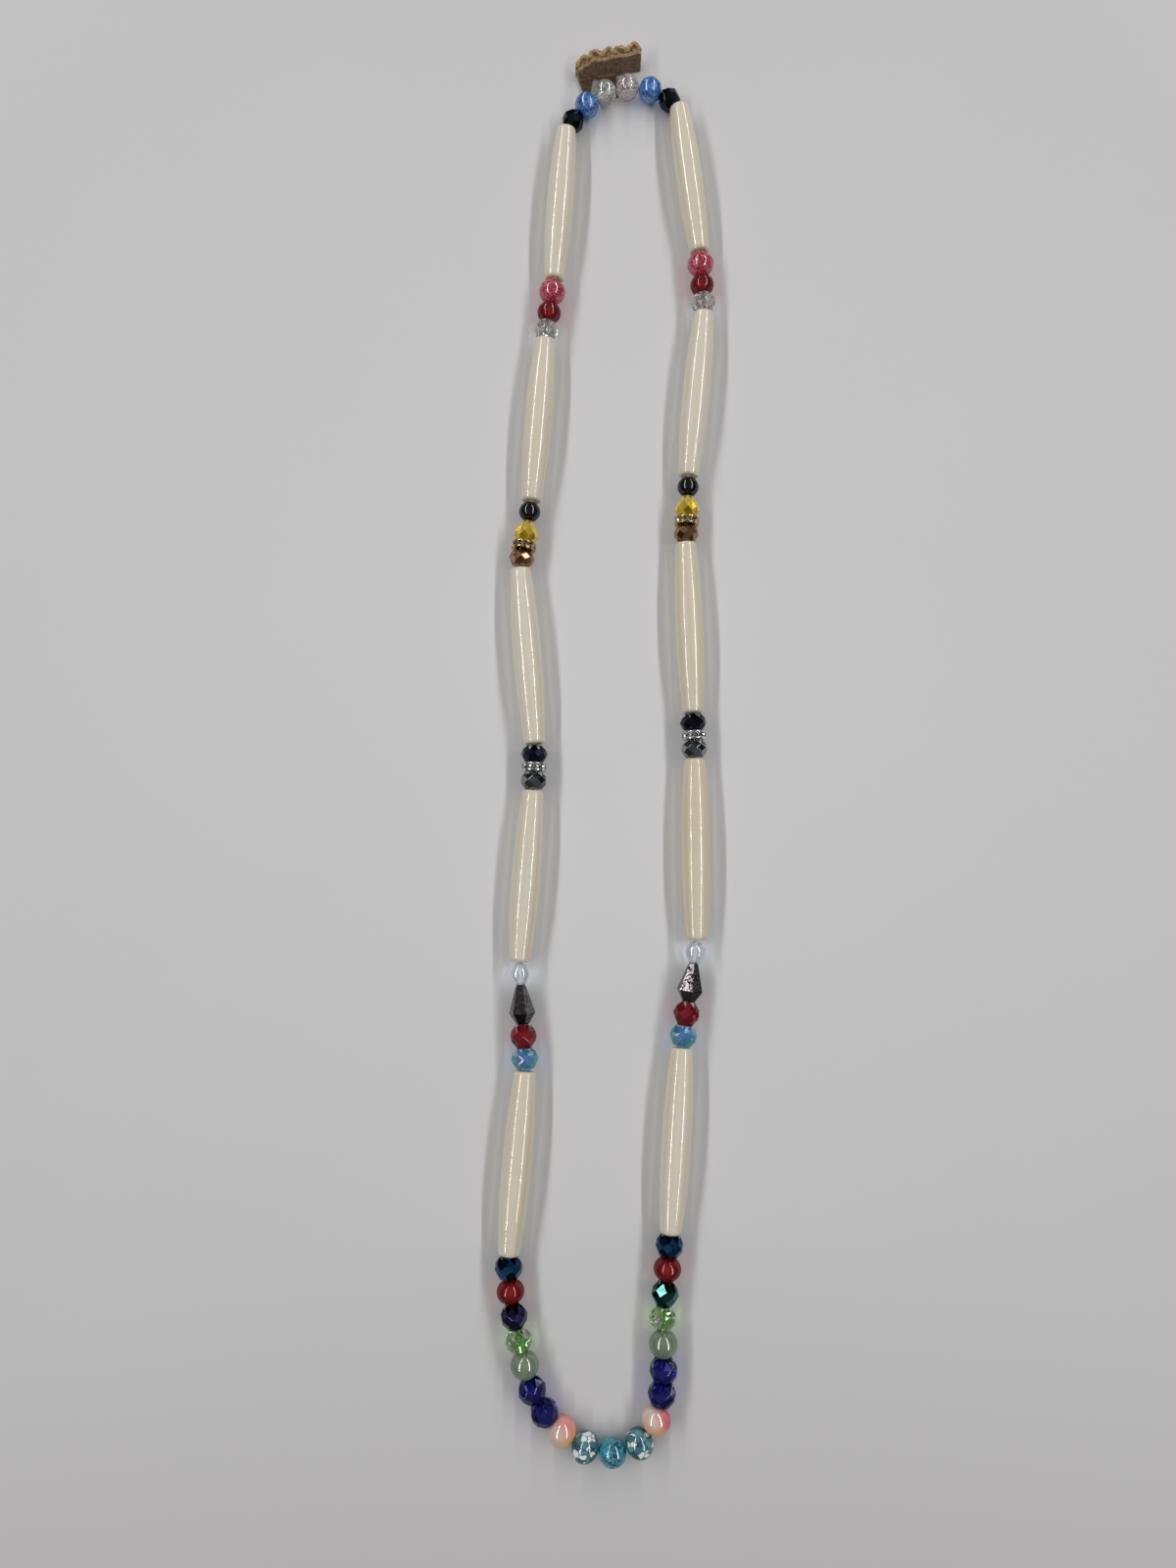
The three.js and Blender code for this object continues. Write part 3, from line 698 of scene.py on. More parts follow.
for name, warmth in PIPE_WARMTH.items():
    length = long_axis(name)[2] / MM
    bone = bone_finish(f"bone_{name}", warmth)
    mesh = turned_mesh(pipe_section(length), *PIPE_GRID, bone)
    mesh.transform(laying(name))
    finished(f"bone_{name}", mesh, bone, name)
print("ten hairpipes turned, last one", round(length, 1), "mm long")

# %% [markdown]
# ## Glass
# Clear glass is one shader with its tint; its shadow lets tinted light through, so each bead throws
# a glow of its own colour beside it. Red and cobalt glass is so deep that little light comes
# through, so only a share of it is clear. Crackled glass has flakes inside: small planes that lean
# in all directions and catch the light, under a smooth outer skin. Coated glass is metal to the
# eye, with a tone that changes from facet to facet, kept on the mesh as an attribute.

# %% Finishes of glass
GLASS_ROUGHNESS = 0.02
CRACKLE_SCALE = 800.0
CRACKLE_DEPTH = 0.4


def clear_glass(name, colour, shadow, film=0.0, contrast=0.4, clear_share=1.0):
    """Glass whose facets differ in depth. Deep glass has painted light: lighter in its middle and darker
    towards its rim.
    """
    deep = clear_share < 1
    material, tree, shader = new_finish(
        name, IOR=1.52, Transmission_Weight=clear_share, Coat_Roughness=0.02,
        Specular_IOR_Level=0.0 if deep else 0.3, Thin_Film_Thickness=film, Thin_Film_IOR=1.8,
    )
    tone = attribute_in(tree, "facet_tone")
    # Painted light on deep glass: lighter where it faces the eye, as if lit through, and darker at its rim.
    if deep:
        tone = maths(tree, "MAXIMUM", tone, remap(tree, facing_in(tree), 0.0, 0.35, 1.0, 0.0))
    colour = blend_colours(tree, tone, scaled(colour, contrast), scaled(colour, 1.3, 0.01))
    feed(tree, shader, {"Base Color": colour})
    polished(tree, shader, GLASS_ROUGHNESS, GLASS_ROUGHNESS + 0.05)
    gloss(tree, shader, 0.45 if deep else 0.8, 1.5)
    coloured_shadow(tree, shader, shadow)
    return material


def crackled_glass(name, dark, light, shadow, clear_share=0.25):
    material, tree, shader = new_finish(name, IOR=1.5, Transmission_Weight=clear_share, Coat_Roughness=0.02)
    flakes = grouped(tree, FLAKES, Scale=CRACKLE_SCALE, Depth=CRACKLE_DEPTH)
    fine = grouped(tree, FLAKES, Scale=CRACKLE_SCALE * 2.1, Depth=CRACKLE_DEPTH)
    colour = blend_colours(tree, remap(tree, flakes["Tone"], 0.2, 0.85), dark, light)
    cracks = maths(tree, "MAXIMUM", flakes["Edge"], maths(tree, "MULTIPLY", fine["Edge"], fine["Tone"]))
    feed(tree, shader, {
        "Base Color": blend_colours(tree, remap(tree, cracks, 0.2, 0.9), colour, scaled(light, 1.3, 0.18)),
        "Roughness": remap(tree, flakes["Tone"], 0.0, 1.0, 0.04, 0.25),
        "Normal": flakes["Normal"],
    })
    gloss(tree, shader, 1.0)
    coloured_shadow(tree, shader, shadow)
    return material


def coated_glass(name, dark, light, smooth=0.08, worn=0.14, metallic=1.0, rim=None, coat=0.4):
    """A metal-bright coating on cut glass, with its own tone on each facet, and a painted sheen in a rim
    colour where one is given.
    """
    material, tree, shader = new_finish(
        name, Metallic=metallic, Coat_Roughness=0.03, Specular_IOR_Level=0.1,
    )
    colour = blend_colours(tree, attribute_in(tree, "facet_tone"), dark, light)
    # Painted sheen: towards the rim the colour turns to the rim colour.
    if rim:
        colour = blend_colours(tree, remap(tree, facing_in(tree), 0.1, 0.6), colour, rim)
    feed(tree, shader, {"Base Color": colour})
    gloss(tree, shader, coat, 1.5)
    polished(tree, shader, smooth, worn)
    return material


# %% [markdown]
# ## Stone and metal
# Stones are milky rather than clear, so they are built from two or three colours that flow into
# one another, with a little light sinking in and a smooth skin. The mosaic stone is cut into
# patches by cells with dark lines between them. Hematite is a dark polished iron ore that breaks
# out in small pits, which show as black specks where a face is bright.

# %% Finishes of stone and metal
MOSAIC_SCALE = 580.0
MOSAIC_WHITE = rgb(228, 236, 236)
MOSAIC_LINE = rgb(6, 52, 66)
OPAL_SHADOW = (0.86, 0.9, 0.95, 1.0)


def stone(name, first, second, scale, high=0.7, flows=None, clear_share=0.0):
    material, tree, shader = new_finish(
        name, Coat_Roughness=0.02, Specular_IOR_Level=0.2, Transmission_Weight=clear_share,
        Subsurface_Weight=0.1, Subsurface_Scale=0.002,
    )
    colour = blend_colours(tree, remap(tree, noise_in(tree, scale, 3.0), 0.35, high), first, second)
    for flow, tint in (flows or {}).items():
        colour = blend_colours(tree, attribute_in(tree, flow), colour, tint)
    feed(tree, shader, {"Base Color": colour})
    polished(tree, shader, 0.3 - 0.25 * clear_share, 0.45 - 0.3 * clear_share)
    gloss(tree, shader, 1.0, 2.0)
    if clear_share:
        coloured_shadow(tree, shader, OPAL_SHADOW, 0.55)
    return material


def mosaic_finish(name, white_share):
    material, tree, shader = new_finish(name, Coat_Roughness=0.02, Specular_IOR_Level=0.2)
    colours, border = cells_in(tree, warped_place(tree, 500.0, 3.0), MOSAIC_SCALE)
    tone = node(tree, "ShaderNodeSeparateColor", {0: colours}).outputs
    patches = remap(tree, tone[0], 1 - white_share, 1.02 - white_share)
    teal = blend_colours(tree, tone[1], rgb(6, 66, 84), rgb(92, 154, 164))
    colour = blend_colours(tree, patches, teal, MOSAIC_WHITE)
    lines = remap(tree, border, 0.03, 0.1, 0.9, 0.0)
    feed(tree, shader, {"Base Color": blend_colours(tree, lines, colour, MOSAIC_LINE)})
    polished(tree, shader, 0.3, 0.45)
    gloss(tree, shader, 1.0)
    return material


def hematite_finish(name):
    material, tree, shader = new_finish(name, Metallic=1.0, Coat_Weight=0.2, Coat_Roughness=0.05)
    pit = remap(tree, noise_in(tree, 1500.0, 4.0, 0.7), 0.52, 0.58)
    metal = blend_colours(tree, attribute_in(tree, "facet_tone"), rgb(24, 24, 26), rgb(128, 124, 124))
    feed(tree, shader, {
        "Base Color": blend_colours(tree, pit, metal, rgb(18, 18, 20)),
        "Roughness": remap(tree, pit, 0.0, 1.0, 0.1, 0.55),
    })
    bumped(tree, shader, pit, 0.5, 0.00015, invert=True)
    return material


def plated_metal(name, bright, tarnish):
    material, tree, shader = new_finish(name, Metallic=1.0)
    spots = remap(tree, noise_in(tree, 900.0, 5.0), 0.45, 0.75)
    feed(tree, shader, {"Base Color": blend_colours(tree, spots, bright, tarnish)})
    polished(tree, shader, 0.14, 0.32, bump=0.1)
    return material


# %% [markdown]
# Now every finish is mixed once. The two colours of a crackled, coated or stone finish are its dark
# and its light side, and the last colour of a clear or crackled one is the light in its shadow.

# %% All the finishes
FINISHES = [
    crackled_glass("clear_crackle_glass", rgb(140, 140, 136), rgb(222, 222, 216), rgb(206, 206, 204), 0.7),
    crackled_glass("rosy_crackle_glass", rgb(150, 136, 140), rgb(222, 210, 212), rgb(208, 202, 204), 0.7),
    crackled_glass("blue_crackle_glass", rgb(8, 62, 136), rgb(44, 128, 198), rgb(146, 180, 228)),
    crackled_glass("pink_crackle_glass", rgb(128, 6, 40), rgb(184, 34, 74), rgb(232, 146, 160)),
    crackled_glass("aqua_crackle_glass", rgb(0, 74, 98), rgb(6, 148, 174), rgb(140, 205, 214)),
    clear_glass("red_round_glass", rgb(124, 0, 14), rgb(232, 104, 110), contrast=0.25, clear_share=0.4),
    clear_glass("red_oval_glass", rgb(128, 0, 10), rgb(236, 104, 104), contrast=0.25, clear_share=0.4),
    clear_glass("red_cut_glass", rgb(128, 0, 28), rgb(224, 112, 126), contrast=0.35, clear_share=0.45),
    clear_glass("cobalt_cut_glass", rgb(2, 4, 104), rgb(126, 126, 226), clear_share=0.6),
    clear_glass("sky_cut_glass", rgb(64, 158, 204), rgb(150, 200, 228), 420.0, 0.5, clear_share=0.7),
    clear_glass("light_green_glass", rgb(172, 210, 140), rgb(200, 236, 184), 322.0, 0.6),
    clear_glass("clear_cut_glass", rgb(232, 230, 236), rgb(215, 210, 216), 380.0),
    coated_glass("dark_luster_glass", rgb(4, 8, 14), rgb(24, 44, 44), rim=rgb(22, 16, 50)),
    coated_glass("black_round_glass", rgb(3, 3, 6), rgb(5, 5, 9), 0.02, 0.04, metallic=0.0, coat=1.0),
    coated_glass("yellow_luster_glass", rgb(116, 92, 2), rgb(214, 182, 40), 0.14, 0.3,
                 metallic=0.3, rim=rgb(228, 200, 112)),
    coated_glass("bronze_coated_glass", rgb(84, 54, 34), rgb(190, 146, 112), 0.15, 0.2),
    coated_glass("black_cut_glass", rgb(6, 7, 14), rgb(24, 30, 54)),
    coated_glass("gunmetal_coated_glass", rgb(36, 40, 48), rgb(146, 150, 158)),
    coated_glass("blue_iris_coated_glass", rgb(5, 14, 40), rgb(36, 100, 160)),
    coated_glass("violet_iris_coated_glass", rgb(8, 14, 30), rgb(70, 58, 134)),
    coated_glass("green_iris_coated_glass", rgb(6, 16, 20), rgb(40, 116, 108)),
    coated_glass("rhinestone_foil", rgb(70, 66, 64), rgb(226, 222, 222), 0.06, 0.12),
    plated_metal("gold_plate", rgb(220, 186, 112), rgb(112, 84, 40)),
    plated_metal("silver_plate", rgb(226, 226, 230), rgb(118, 116, 114)),
    hematite_finish("hematite_finish"),
    stone("opalite_glass", rgb(222, 232, 244), rgb(240, 240, 238), 180.0, clear_share=0.88),
    stone("aventurine_stone", rgb(92, 110, 90), rgb(118, 136, 112), 300.0),
    stone("pink_stone_left", rgb(198, 174, 162), rgb(212, 188, 174), 120.0, 0.65,
          {"blush": rgb(222, 140, 136), "amber": rgb(222, 166, 92)}),
    stone("pink_stone_right", rgb(202, 176, 168), rgb(214, 188, 178), 120.0, 0.65,
          {"blush": rgb(206, 82, 98), "amber": rgb(214, 164, 104)}),
    mosaic_finish("mosaic_stone_left", 0.3),
    mosaic_finish("mosaic_stone_right", 0.38),
]
FINISH = {material.name: material for material in FINISHES}
print("finishes mixed:", len(FINISH))

# %% [markdown]
# ## Cut beads
# Facets on a cut bead are set in rows. Each facet of the middle rows is a flat rhomb, and a rhomb
# lies flat only if the ring of corners inside it has the right radius. With n corners to a ring,
# that radius is cos(180/n) of the widest one, and the end ring follows from the line through both.
# So a bead's whole cut comes from its number of corners and the place of its second ring. The mesh's
# faces are made one by one because every facet has to be one flat face. A narrow bevel then gives
# each edge the thin bright line of polished glass.

# %% A cut bead with flat rhombs
BEAD_BORE = 1.3
FACET_EDGE = 0.05
SHARPEST_LEFT = math.radians(12)


def cut_rings(sides, second=0.42):
    """Rings of corners from the front end to the back end, as shares of half length and radius."""
    inner = math.cos(math.pi / sides)
    end = 1 - math.sin(math.pi / sides) ** 2 / second
    return [(-1, end), (-second, inner), (0, 1), (second, inner), (1, end)]


def round_point(along, out, angle):
    return (along * MM, out * math.cos(angle) * MM, out * math.sin(angle) * MM)


def close_with_bore(builder, front, back, half_length):
    """Closes both ends with a flat ring round the hole, and lines the hole."""
    bores = []
    for ring, along in ((front, -half_length), (back, half_length)):
        angles = [math.atan2(vertex.co.z, vertex.co.y) for vertex in ring]
        bores.append([builder.verts.new(round_point(along, BEAD_BORE / 2, angle)) for angle in angles])
    sides = len(front)
    for k in range(sides):
        n = (k + 1) % sides
        builder.faces.new((front[k], bores[0][k], bores[0][n], front[n]))
        builder.faces.new((back[k], back[n], bores[1][n], bores[1][k]))
        near = min(range(sides), key=lambda j: (bores[1][j].co.yz - bores[0][k].co.yz).length)
        builder.faces.new((bores[0][k], bores[1][near], bores[1][(near + 1) % sides], bores[0][n]))


def cut_mesh(diameter, length, seed, sides, rings, staggered=True, edge=FACET_EDGE):
    """A cut bead from rings of corners. Staggered rings give rhombs, others long flat sides."""
    builder = bmesh.new()
    rows = []
    for row, (along, out) in enumerate(rings):
        half_steps = row / 2 if staggered else 0.5
        angles = [math.tau * (k + half_steps) / sides + math.pi / 2 for k in range(sides)]
        along, out = along * length / 2, out * diameter / 2
        rows.append([builder.verts.new(round_point(along, out, angle)) for angle in angles])
    last = len(rows) - 1
    for k in range(sides):
        n = (k + 1) % sides
        if staggered:
            builder.faces.new((rows[0][k], rows[0][n], rows[1][k]))
            for row in range(1, last):
                builder.faces.new((rows[row - 1][n], rows[row][n], rows[row + 1][k], rows[row][k]))
            builder.faces.new((rows[-2][k], rows[-2][n], rows[-1][k]))
        else:
            for row in range(last):
                builder.faces.new((rows[row][k], rows[row][n], rows[row + 1][n], rows[row + 1][k]))
    close_with_bore(builder, rows[0], rows[-1], length / 2)
    return bevelled(mesh_of(builder, "cut_bead"), edge * MM, seed)


def bevelled(mesh, width, seed):
    """Breaks the edges by a narrow bevel and gives each facet its own tone."""
    source = in_scene("cut_bead", mesh)
    bevel = source.modifiers.new("polished_edges", "BEVEL")
    bevel.width = width
    bevel.segments = 2
    bevel.limit_method = "ANGLE"
    bevel.angle_limit = SHARPEST_LEFT
    made = evaluated_mesh(source)
    give_tones(made, seed)
    return made


def give_tones(mesh, seed):
    """Gives each face its own tone, from a fixed seed."""
    mark(mesh, "facet_tone", np.random.default_rng(seed).random(len(mesh.polygons)))


print("ring radii of a bead with eight corners:", [round(out, 3) for _, out in cut_rings(8)])

# %% [markdown]
# ## Round beads
# A pressed or rolled bead is a ball that its hole cuts flat at both ends. Its section is an arc of
# an ellipse, one quick curve over the edge of the hole, and the straight wall of the hole.

# %% A round bead
BALL_FLAT = 2.0
BALL_STEPS = 30
BALL_BORE_EDGE = 0.12
BALL_GRID = (76, 49)
BALL_TONE = 0.5


def ball_section(diameter, length):
    full = length / 2 / math.sqrt(1 - (BALL_FLAT / diameter) ** 2)
    widest = math.asin(length / 2 / full)
    angles = [widest * (2 * i / BALL_STEPS - 1) for i in range(BALL_STEPS + 1)]
    outside = [(full * math.sin(angle), diameter / 2 * math.cos(angle)) for angle in angles]
    return outside + hole_through(length, BEAD_BORE, BALL_BORE_EDGE)


def ball_mesh(diameter, length, material):
    mesh = turned_mesh(ball_section(diameter, length), *BALL_GRID, material)
    mark(mesh, "facet_tone", np.full(len(mesh.polygons), BALL_TONE))
    return mesh


print("corners in the section of a round bead:", len(ball_section(7.0, 6.5)))

# %% [markdown]
# ## The table of beads
# One row for each kind of bead gives its form, its diameter and length in millimetres, its finish
# and its slot. Rondelles are flat and have eight corners to a ring, fire-polished beads are rounder
# and have seven, so both come from the rule above. The egg and the drop have rings of their own.

# %% Forms and sizes
RONDELLE = {"sides": 8, "rings": cut_rings(8)}
POLISHED = {"sides": 7, "rings": cut_rings(7)}
EGG = {"sides": 8, "rings": [(-1, 0.66), (-0.62, 0.93), (-0.22, 1.0), (0.38, 0.79), (1, 0.38)]}
DROP = {"sides": 6, "rings": [(-1, 0.5), (-0.44, 1.0), (1, 0.36)], "staggered": False, "edge": 0.12}

BEADS = {
    "clear_crackle": ("ball", 7.4, 6.95, "clear_crackle_glass", "clear_glass"),
    "rosy_crackle": ("ball", 7.4, 6.95, "rosy_crackle_glass", "clear_glass"),
    "blue_crackle": ("ball", 7.55, 6.75, "blue_crackle_glass", "blue_glass"),
    "dark_luster": (POLISHED, 7.05, 6.1, "dark_luster_glass", "dark_glass"),
    "pink_crackle": ("ball", 7.9, 7.15, "pink_crackle_glass", "pink_glass"),
    "red_round": ("ball", 7.1, 6.3, "red_round_glass", "red_glass"),
    "clear_rondelle": (RONDELLE, 7.5, 5.25, "clear_cut_glass", "clear_glass"),
    "black_round": ("ball", 6.3, 5.7, "black_round_glass", "black_glass"),
    "yellow_egg": (EGG, 7.5, 6.6, "yellow_luster_glass", "yellow_glass"),
    "gold_rondelle": ("rhinestone", 7.2, 2.5, "gold_plate", "gold"),
    "bronze_rondelle": (RONDELLE, 7.5, 4.95, "bronze_coated_glass", "bronze"),
    "black_rondelle": (RONDELLE, 7.7, 5.05, "black_cut_glass", "black_glass"),
    "silver_rondelle": ("rhinestone", 7.1, 2.6, "silver_plate", "silver"),
    "gunmetal_rondelle": (RONDELLE, 7.65, 5.1, "gunmetal_coated_glass", "gunmetal"),
    "opalite": ("ball", 6.6, 6.05, "opalite_glass", "opal_glass"),
    "hematite_drop": (DROP, 7.6, 10.8, "hematite_finish", "hematite"),
    "red_faceted": (POLISHED, 7.6, 6.65, "red_cut_glass", "red_glass"),
    "sky_rondelle": (RONDELLE, 7.7, 5.75, "sky_cut_glass", "sky_glass"),
    "blue_iris": (RONDELLE, 7.86, 5.85, "blue_iris_coated_glass", "blue_iris"),
    "red_oval": ("ball", 7.6, 6.45, "red_oval_glass", "red_glass"),
    "violet_iris": (POLISHED, 7.7, 6.35, "violet_iris_coated_glass", "dark_iris"),
    "green_iris": (POLISHED, 7.7, 6.35, "green_iris_coated_glass", "dark_iris"),
    "light_green": (POLISHED, 7.75, 5.9, "light_green_glass", "green_glass"),
    "aventurine": ("ball", 7.7, 7.25, "aventurine_stone", "aventurine"),
    "cobalt": (RONDELLE, 7.86, 5.95, "cobalt_cut_glass", "cobalt_glass"),
    "pink_stone_left": ("ball", 7.95, 7.2, "pink_stone_left", "pink_stone"),
    "pink_stone_right": ("ball", 7.95, 7.2, "pink_stone_right", "pink_stone"),
    "mosaic_left": ("ball", 8.05, 7.05, "mosaic_stone_left", "mosaic_stone"),
    "mosaic_right": ("ball", 8.05, 7.05, "mosaic_stone_right", "mosaic_stone"),
    "aqua_centre": ("ball", 7.6, 7.35, "aqua_crackle_glass", "aqua_glass"),
}
print("kinds of beads:", len(BEADS))

# %% [markdown]
# ## Rhinestone rondelles
# This spacer is a metal spool with two wavy rims that hold a ring of small cut stones. The spool is
# turned. The rims are a circle that waves along the string once for each stone, swept with a thin
# wire, and the stones are one cut stone set all round: a job for Geometry Nodes, with the number
# of stones and the radius as inputs, so that stones and waves always agree.

# %% The rhinestone trees
STONE_COUNT = 12
STONE_WIDTH = 1.55
STONE_RISE = 0.35
STONE_SINK = 0.1
STONE_TABLE = 0.55
STONE_SIDES = 8
STONE_DEPTH = 0.4
STONE_SEED = 5
RIM_WIRE = 0.3
RIM_WAVE = 0.12
RIM_STEPS = 144
WIRE_STEPS = 10
SPOOL_WIDTH = 5.6
SPOOL_WALL = 0.32
SPOOL_GRID = (90, 49)
TO_STRING = Matrix.Rotation(math.pi / 2, 4, "Y")


def stone_mesh():
    """A small brilliant: a table, a ring of kite facets and a pointed back."""
    builder = bmesh.new()
    girdle, table_ring = [], []
    for k in range(STONE_SIDES):
        angle = math.tau * k / STONE_SIDES
        girdle.append(builder.verts.new((math.cos(angle) / 2, math.sin(angle) / 2, 0)))
        inner = angle + math.pi / STONE_SIDES
        table_ring.append(builder.verts.new((
            STONE_TABLE * math.cos(inner) / 2, STONE_TABLE * math.sin(inner) / 2, STONE_RISE / STONE_WIDTH,
        )))
    tip = builder.verts.new((0, 0, -STONE_DEPTH))
    for k in range(STONE_SIDES):
        n = (k + 1) % STONE_SIDES
        builder.faces.new((girdle[k], girdle[n], table_ring[k]))
        builder.faces.new((girdle[n], table_ring[n], table_ring[k]))
        builder.faces.new((girdle[n], girdle[k], tip))
    builder.faces.new(table_ring)
    return mesh_of(builder, "small_stone")


STONE = bpy.data.objects.new("small_stone", stone_mesh())


def stone_ring_tree():
    sizes = {"Stones": STONE_COUNT, "Radius": 0.003, "Width": STONE_WIDTH * MM}
    tree, start = geometry_tree("set_stones_round", "Mesh", sizes, "Ring")
    ring = node(tree, "GeometryNodeMeshCircle", {"Vertices": start["Stones"], "Radius": start["Radius"]})
    spot = node(tree, "GeometryNodeInputPosition").outputs["Position"]
    outward = node(tree, "FunctionNodeAlignRotationToVector", {"Vector": spot}, axis="Z").outputs[0]
    placed = node(tree, "GeometryNodeInstanceOnPoints", {
        "Points": ring.outputs["Mesh"], "Rotation": outward, "Scale": start["Width"],
        "Instance": node(tree, "GeometryNodeObjectInfo", {"Object": STONE}).outputs["Geometry"],
    })
    return end_tree(tree, start, placed.outputs[0], "Ring", smooth=False)


def rim_tree():
    sizes = {"Waves": STONE_COUNT, "Radius": 0.003, "Wave": RIM_WAVE * MM, "Wire": RIM_WIRE * MM}
    tree, start = geometry_tree("wave_a_rim", "Mesh", sizes, "Rim")
    circle = circle_in(tree, RIM_STEPS, start["Radius"])
    share = node(tree, "GeometryNodeSplineParameter").outputs["Factor"]
    swing = turn_by(tree, maths(tree, "MULTIPLY", share, start["Waves"]))[0]
    offset = vector_of(tree, z=maths(tree, "MULTIPLY", swing, start["Wave"]))
    waved = node(tree, "GeometryNodeSetPosition", {"Geometry": circle, "Offset": offset}).outputs[0]
    wire = circle_in(tree, WIRE_STEPS, start["Wire"])
    return end_tree(tree, start, swept_in(tree, waved, wire), "Rim")


STONE_RING = stone_ring_tree()
RIM = rim_tree()


def tree_mesh(tree, inputs):
    """The mesh that a tree makes from its inputs alone."""
    return through(tree, in_scene("from_tree", bpy.data.meshes.new("from_tree")), inputs)


def spool_section(half_length, radius):
    """A reel seen from the side: two walls with the drum between them, and the hole."""
    bore, drum, wall = BEAD_BORE / 2, SPOOL_WIDTH / 2, half_length - SPOOL_WALL
    return [
        (-half_length, bore), (-half_length, radius), (-wall, radius), (-wall, drum),
        (wall, drum), (wall, radius), (half_length, radius), (half_length, bore),
    ]


def rhinestone_meshes(diameter, length, metal):
    """The metal of a rhinestone rondelle, and its ring of stones, both round X."""
    half_length, radius = length / 2, diameter / 2 - RIM_WIRE
    whole = bmesh.new()
    whole.from_mesh(turned_mesh(spool_section(half_length, radius), *SPOOL_GRID, metal))
    for side in (-1, 1):
        rim = tree_mesh(RIM, {"Radius": radius * MM, "Wave": -side * RIM_WAVE * MM, "Finish": metal})
        along = side * (half_length - RIM_WIRE - RIM_WAVE) * MM
        rim.transform(Matrix.Translation((along, 0, 0)) @ TO_STRING)
        whole.from_mesh(rim)
    seat = (diameter / 2 - STONE_RISE - STONE_SINK) * MM
    stones = tree_mesh(STONE_RING, {"Radius": seat, "Finish": FINISH["rhinestone_foil"]})
    stones.transform(TO_STRING)
    give_tones(stones, STONE_SEED)
    return mesh_of(whole, "rondelle", sort_normals=False), stones


print("stones on each rondelle:", STONE_COUNT)

# %% [markdown]
# ## Stringing the beads
# Now every bead is made and laid on the string. Single beads lie on their own node. The spacer
# groups stand in one node each, so their beads are lined up from the front end, one length after
# the other, as the fingers that strung them did. The right side mirrors the left, but each bead is
# turned a little differently round the thread, because no one lines up facets by hand. Where a
# facet is seen to catch a lamp, its bead has its own angle in the table of turns.

# %% Single beads and spacer groups
SINGLES = {
    "mosaic_stone_left": "mosaic_left", "mosaic_stone_right": "mosaic_right",
    "cobalt_front": "cobalt", "cobalt_back": "cobalt",
    "dark_iris_left": "violet_iris", "dark_iris_right": "green_iris",
    "clear_crackle_left": "clear_crackle", "clear_crackle_right": "rosy_crackle",
}
GROUPS = {
    "spacer_hematite": ["sky_rondelle", "red_faceted", "hematite_drop", "opalite"],
    "spacer_silver": ["gunmetal_rondelle", "silver_rondelle", "black_rondelle"],
    "spacer_gold": ["bronze_rondelle", "gold_rondelle", "yellow_egg", "black_round"],
    "spacer_rose": ["clear_rondelle", "red_round", "pink_crackle"],
}
TURNS = {
    "bronze_rondelle_left": 0.0, "bronze_rondelle_right": 9.0,
    "gunmetal_rondelle_left": 22.5, "gunmetal_rondelle_right": 7.0,
    "hematite_drop_left": -8.0, "hematite_drop_right": -23.5,
    "sky_rondelle_right": 5.0, "red_faceted_right": 12.0,
    "bead_blue_iris_left": 14.0, "bead_blue_iris_right": 11.0,
    "bead_light_green_left": 11.0, "bead_light_green_right": 4.0, "bead_dark_iris_right": 27.5,
    "bead_cobalt_front_left": 10.0, "bead_cobalt_back_left": 11.0,
    "bead_cobalt_front_right": 9.0, "bead_cobalt_back_right": 12.0,
}
LOOSE_TURN = 3.0
turning = np.random.default_rng(11)
FLOWS = {
    "pink_stone_left": {"blush": (0.7, 0.7), "amber": (0.6, -0.8)},
    "pink_stone_right": {"blush": (1.0, 0.1), "amber": (-0.2, -1.0)},
}
FLOW_START = 0.1
FLOW_WIDTH = 0.9


def flow_across(mesh, flows, centre, radius):
    """Marks how far each point of a stone lies to the side where its colour changes."""
    away = (points_of(mesh) - np.array(centre)) / radius
    for name, (across, back) in flows.items():
        towards = away @ np.array((across, back, 0.0))
        mark(mesh, name, np.clip((towards + FLOW_START) / FLOW_WIDTH, 0, 1), "POINT")


def string_bead(key, name, stands_for, shift=0.0):
    """Makes one bead of the table and lays it on the node that it stands for."""
    form, diameter, length, finish, slot = BEADS[key]
    material = FINISH[finish]
    if form == "ball":
        angle = turning.uniform(0, math.tau)
    else:
        loose = turning.uniform(-LOOSE_TURN, LOOSE_TURN)
        angle = math.radians(TURNS.get(name, loose))
    placed = laying(stands_for, shift * MM) @ Matrix.Rotation(angle, 4, "X")
    if form == "ball":
        mesh = ball_mesh(diameter, length, material)
    elif form == "rhinestone":
        mesh, stones = rhinestone_meshes(diameter, length, material)
        stones.transform(placed)
        finished(f"{name}_stones", stones, FINISH["rhinestone_foil"], stands_for)
    else:
        mesh = cut_mesh(diameter, length, int(turning.integers(1000)), **form)
    mesh.transform(placed)
    if key in FLOWS:
        flow_across(mesh, FLOWS[key], middle_of(stands_for), diameter / 2 * MM)
    finished(name, mesh, material, stands_for)


def kind_of(name):
    """The row of the table for a single bead: its own name, with or without its side, unless it differs."""
    plain_name = name.rsplit("_", 1)[0]
    return SINGLES.get(name) or SINGLES.get(plain_name) or (name if name in BEADS else plain_name)


for name in loop:
    if not is_long(name):
        string_bead(kind_of(name), f"bead_{name}", name)

for group_name, keys in GROUPS.items():
    for side_name in ("left", "right"):
        stands_for = f"{group_name}_{side_name}"
        total = sum(BEADS[key][2] for key in keys)
        front = -total / 2
        for key in keys:
            length = BEADS[key][2]
            string_bead(key, f"{key}_{side_name}", stands_for, front + length / 2)
            front += length
        print(f"{stands_for}: beads {total:.2f} mm, node {long_axis(stands_for)[2] / MM:.2f} mm")

# %% [markdown]
# ## The thread
# A thin twisted thread runs through every hole. It only shows where the string bends and the beads
# part a little. It is a ring through the joints, swept with a two-strand section that a Geometry
# Nodes tree turns as it goes.

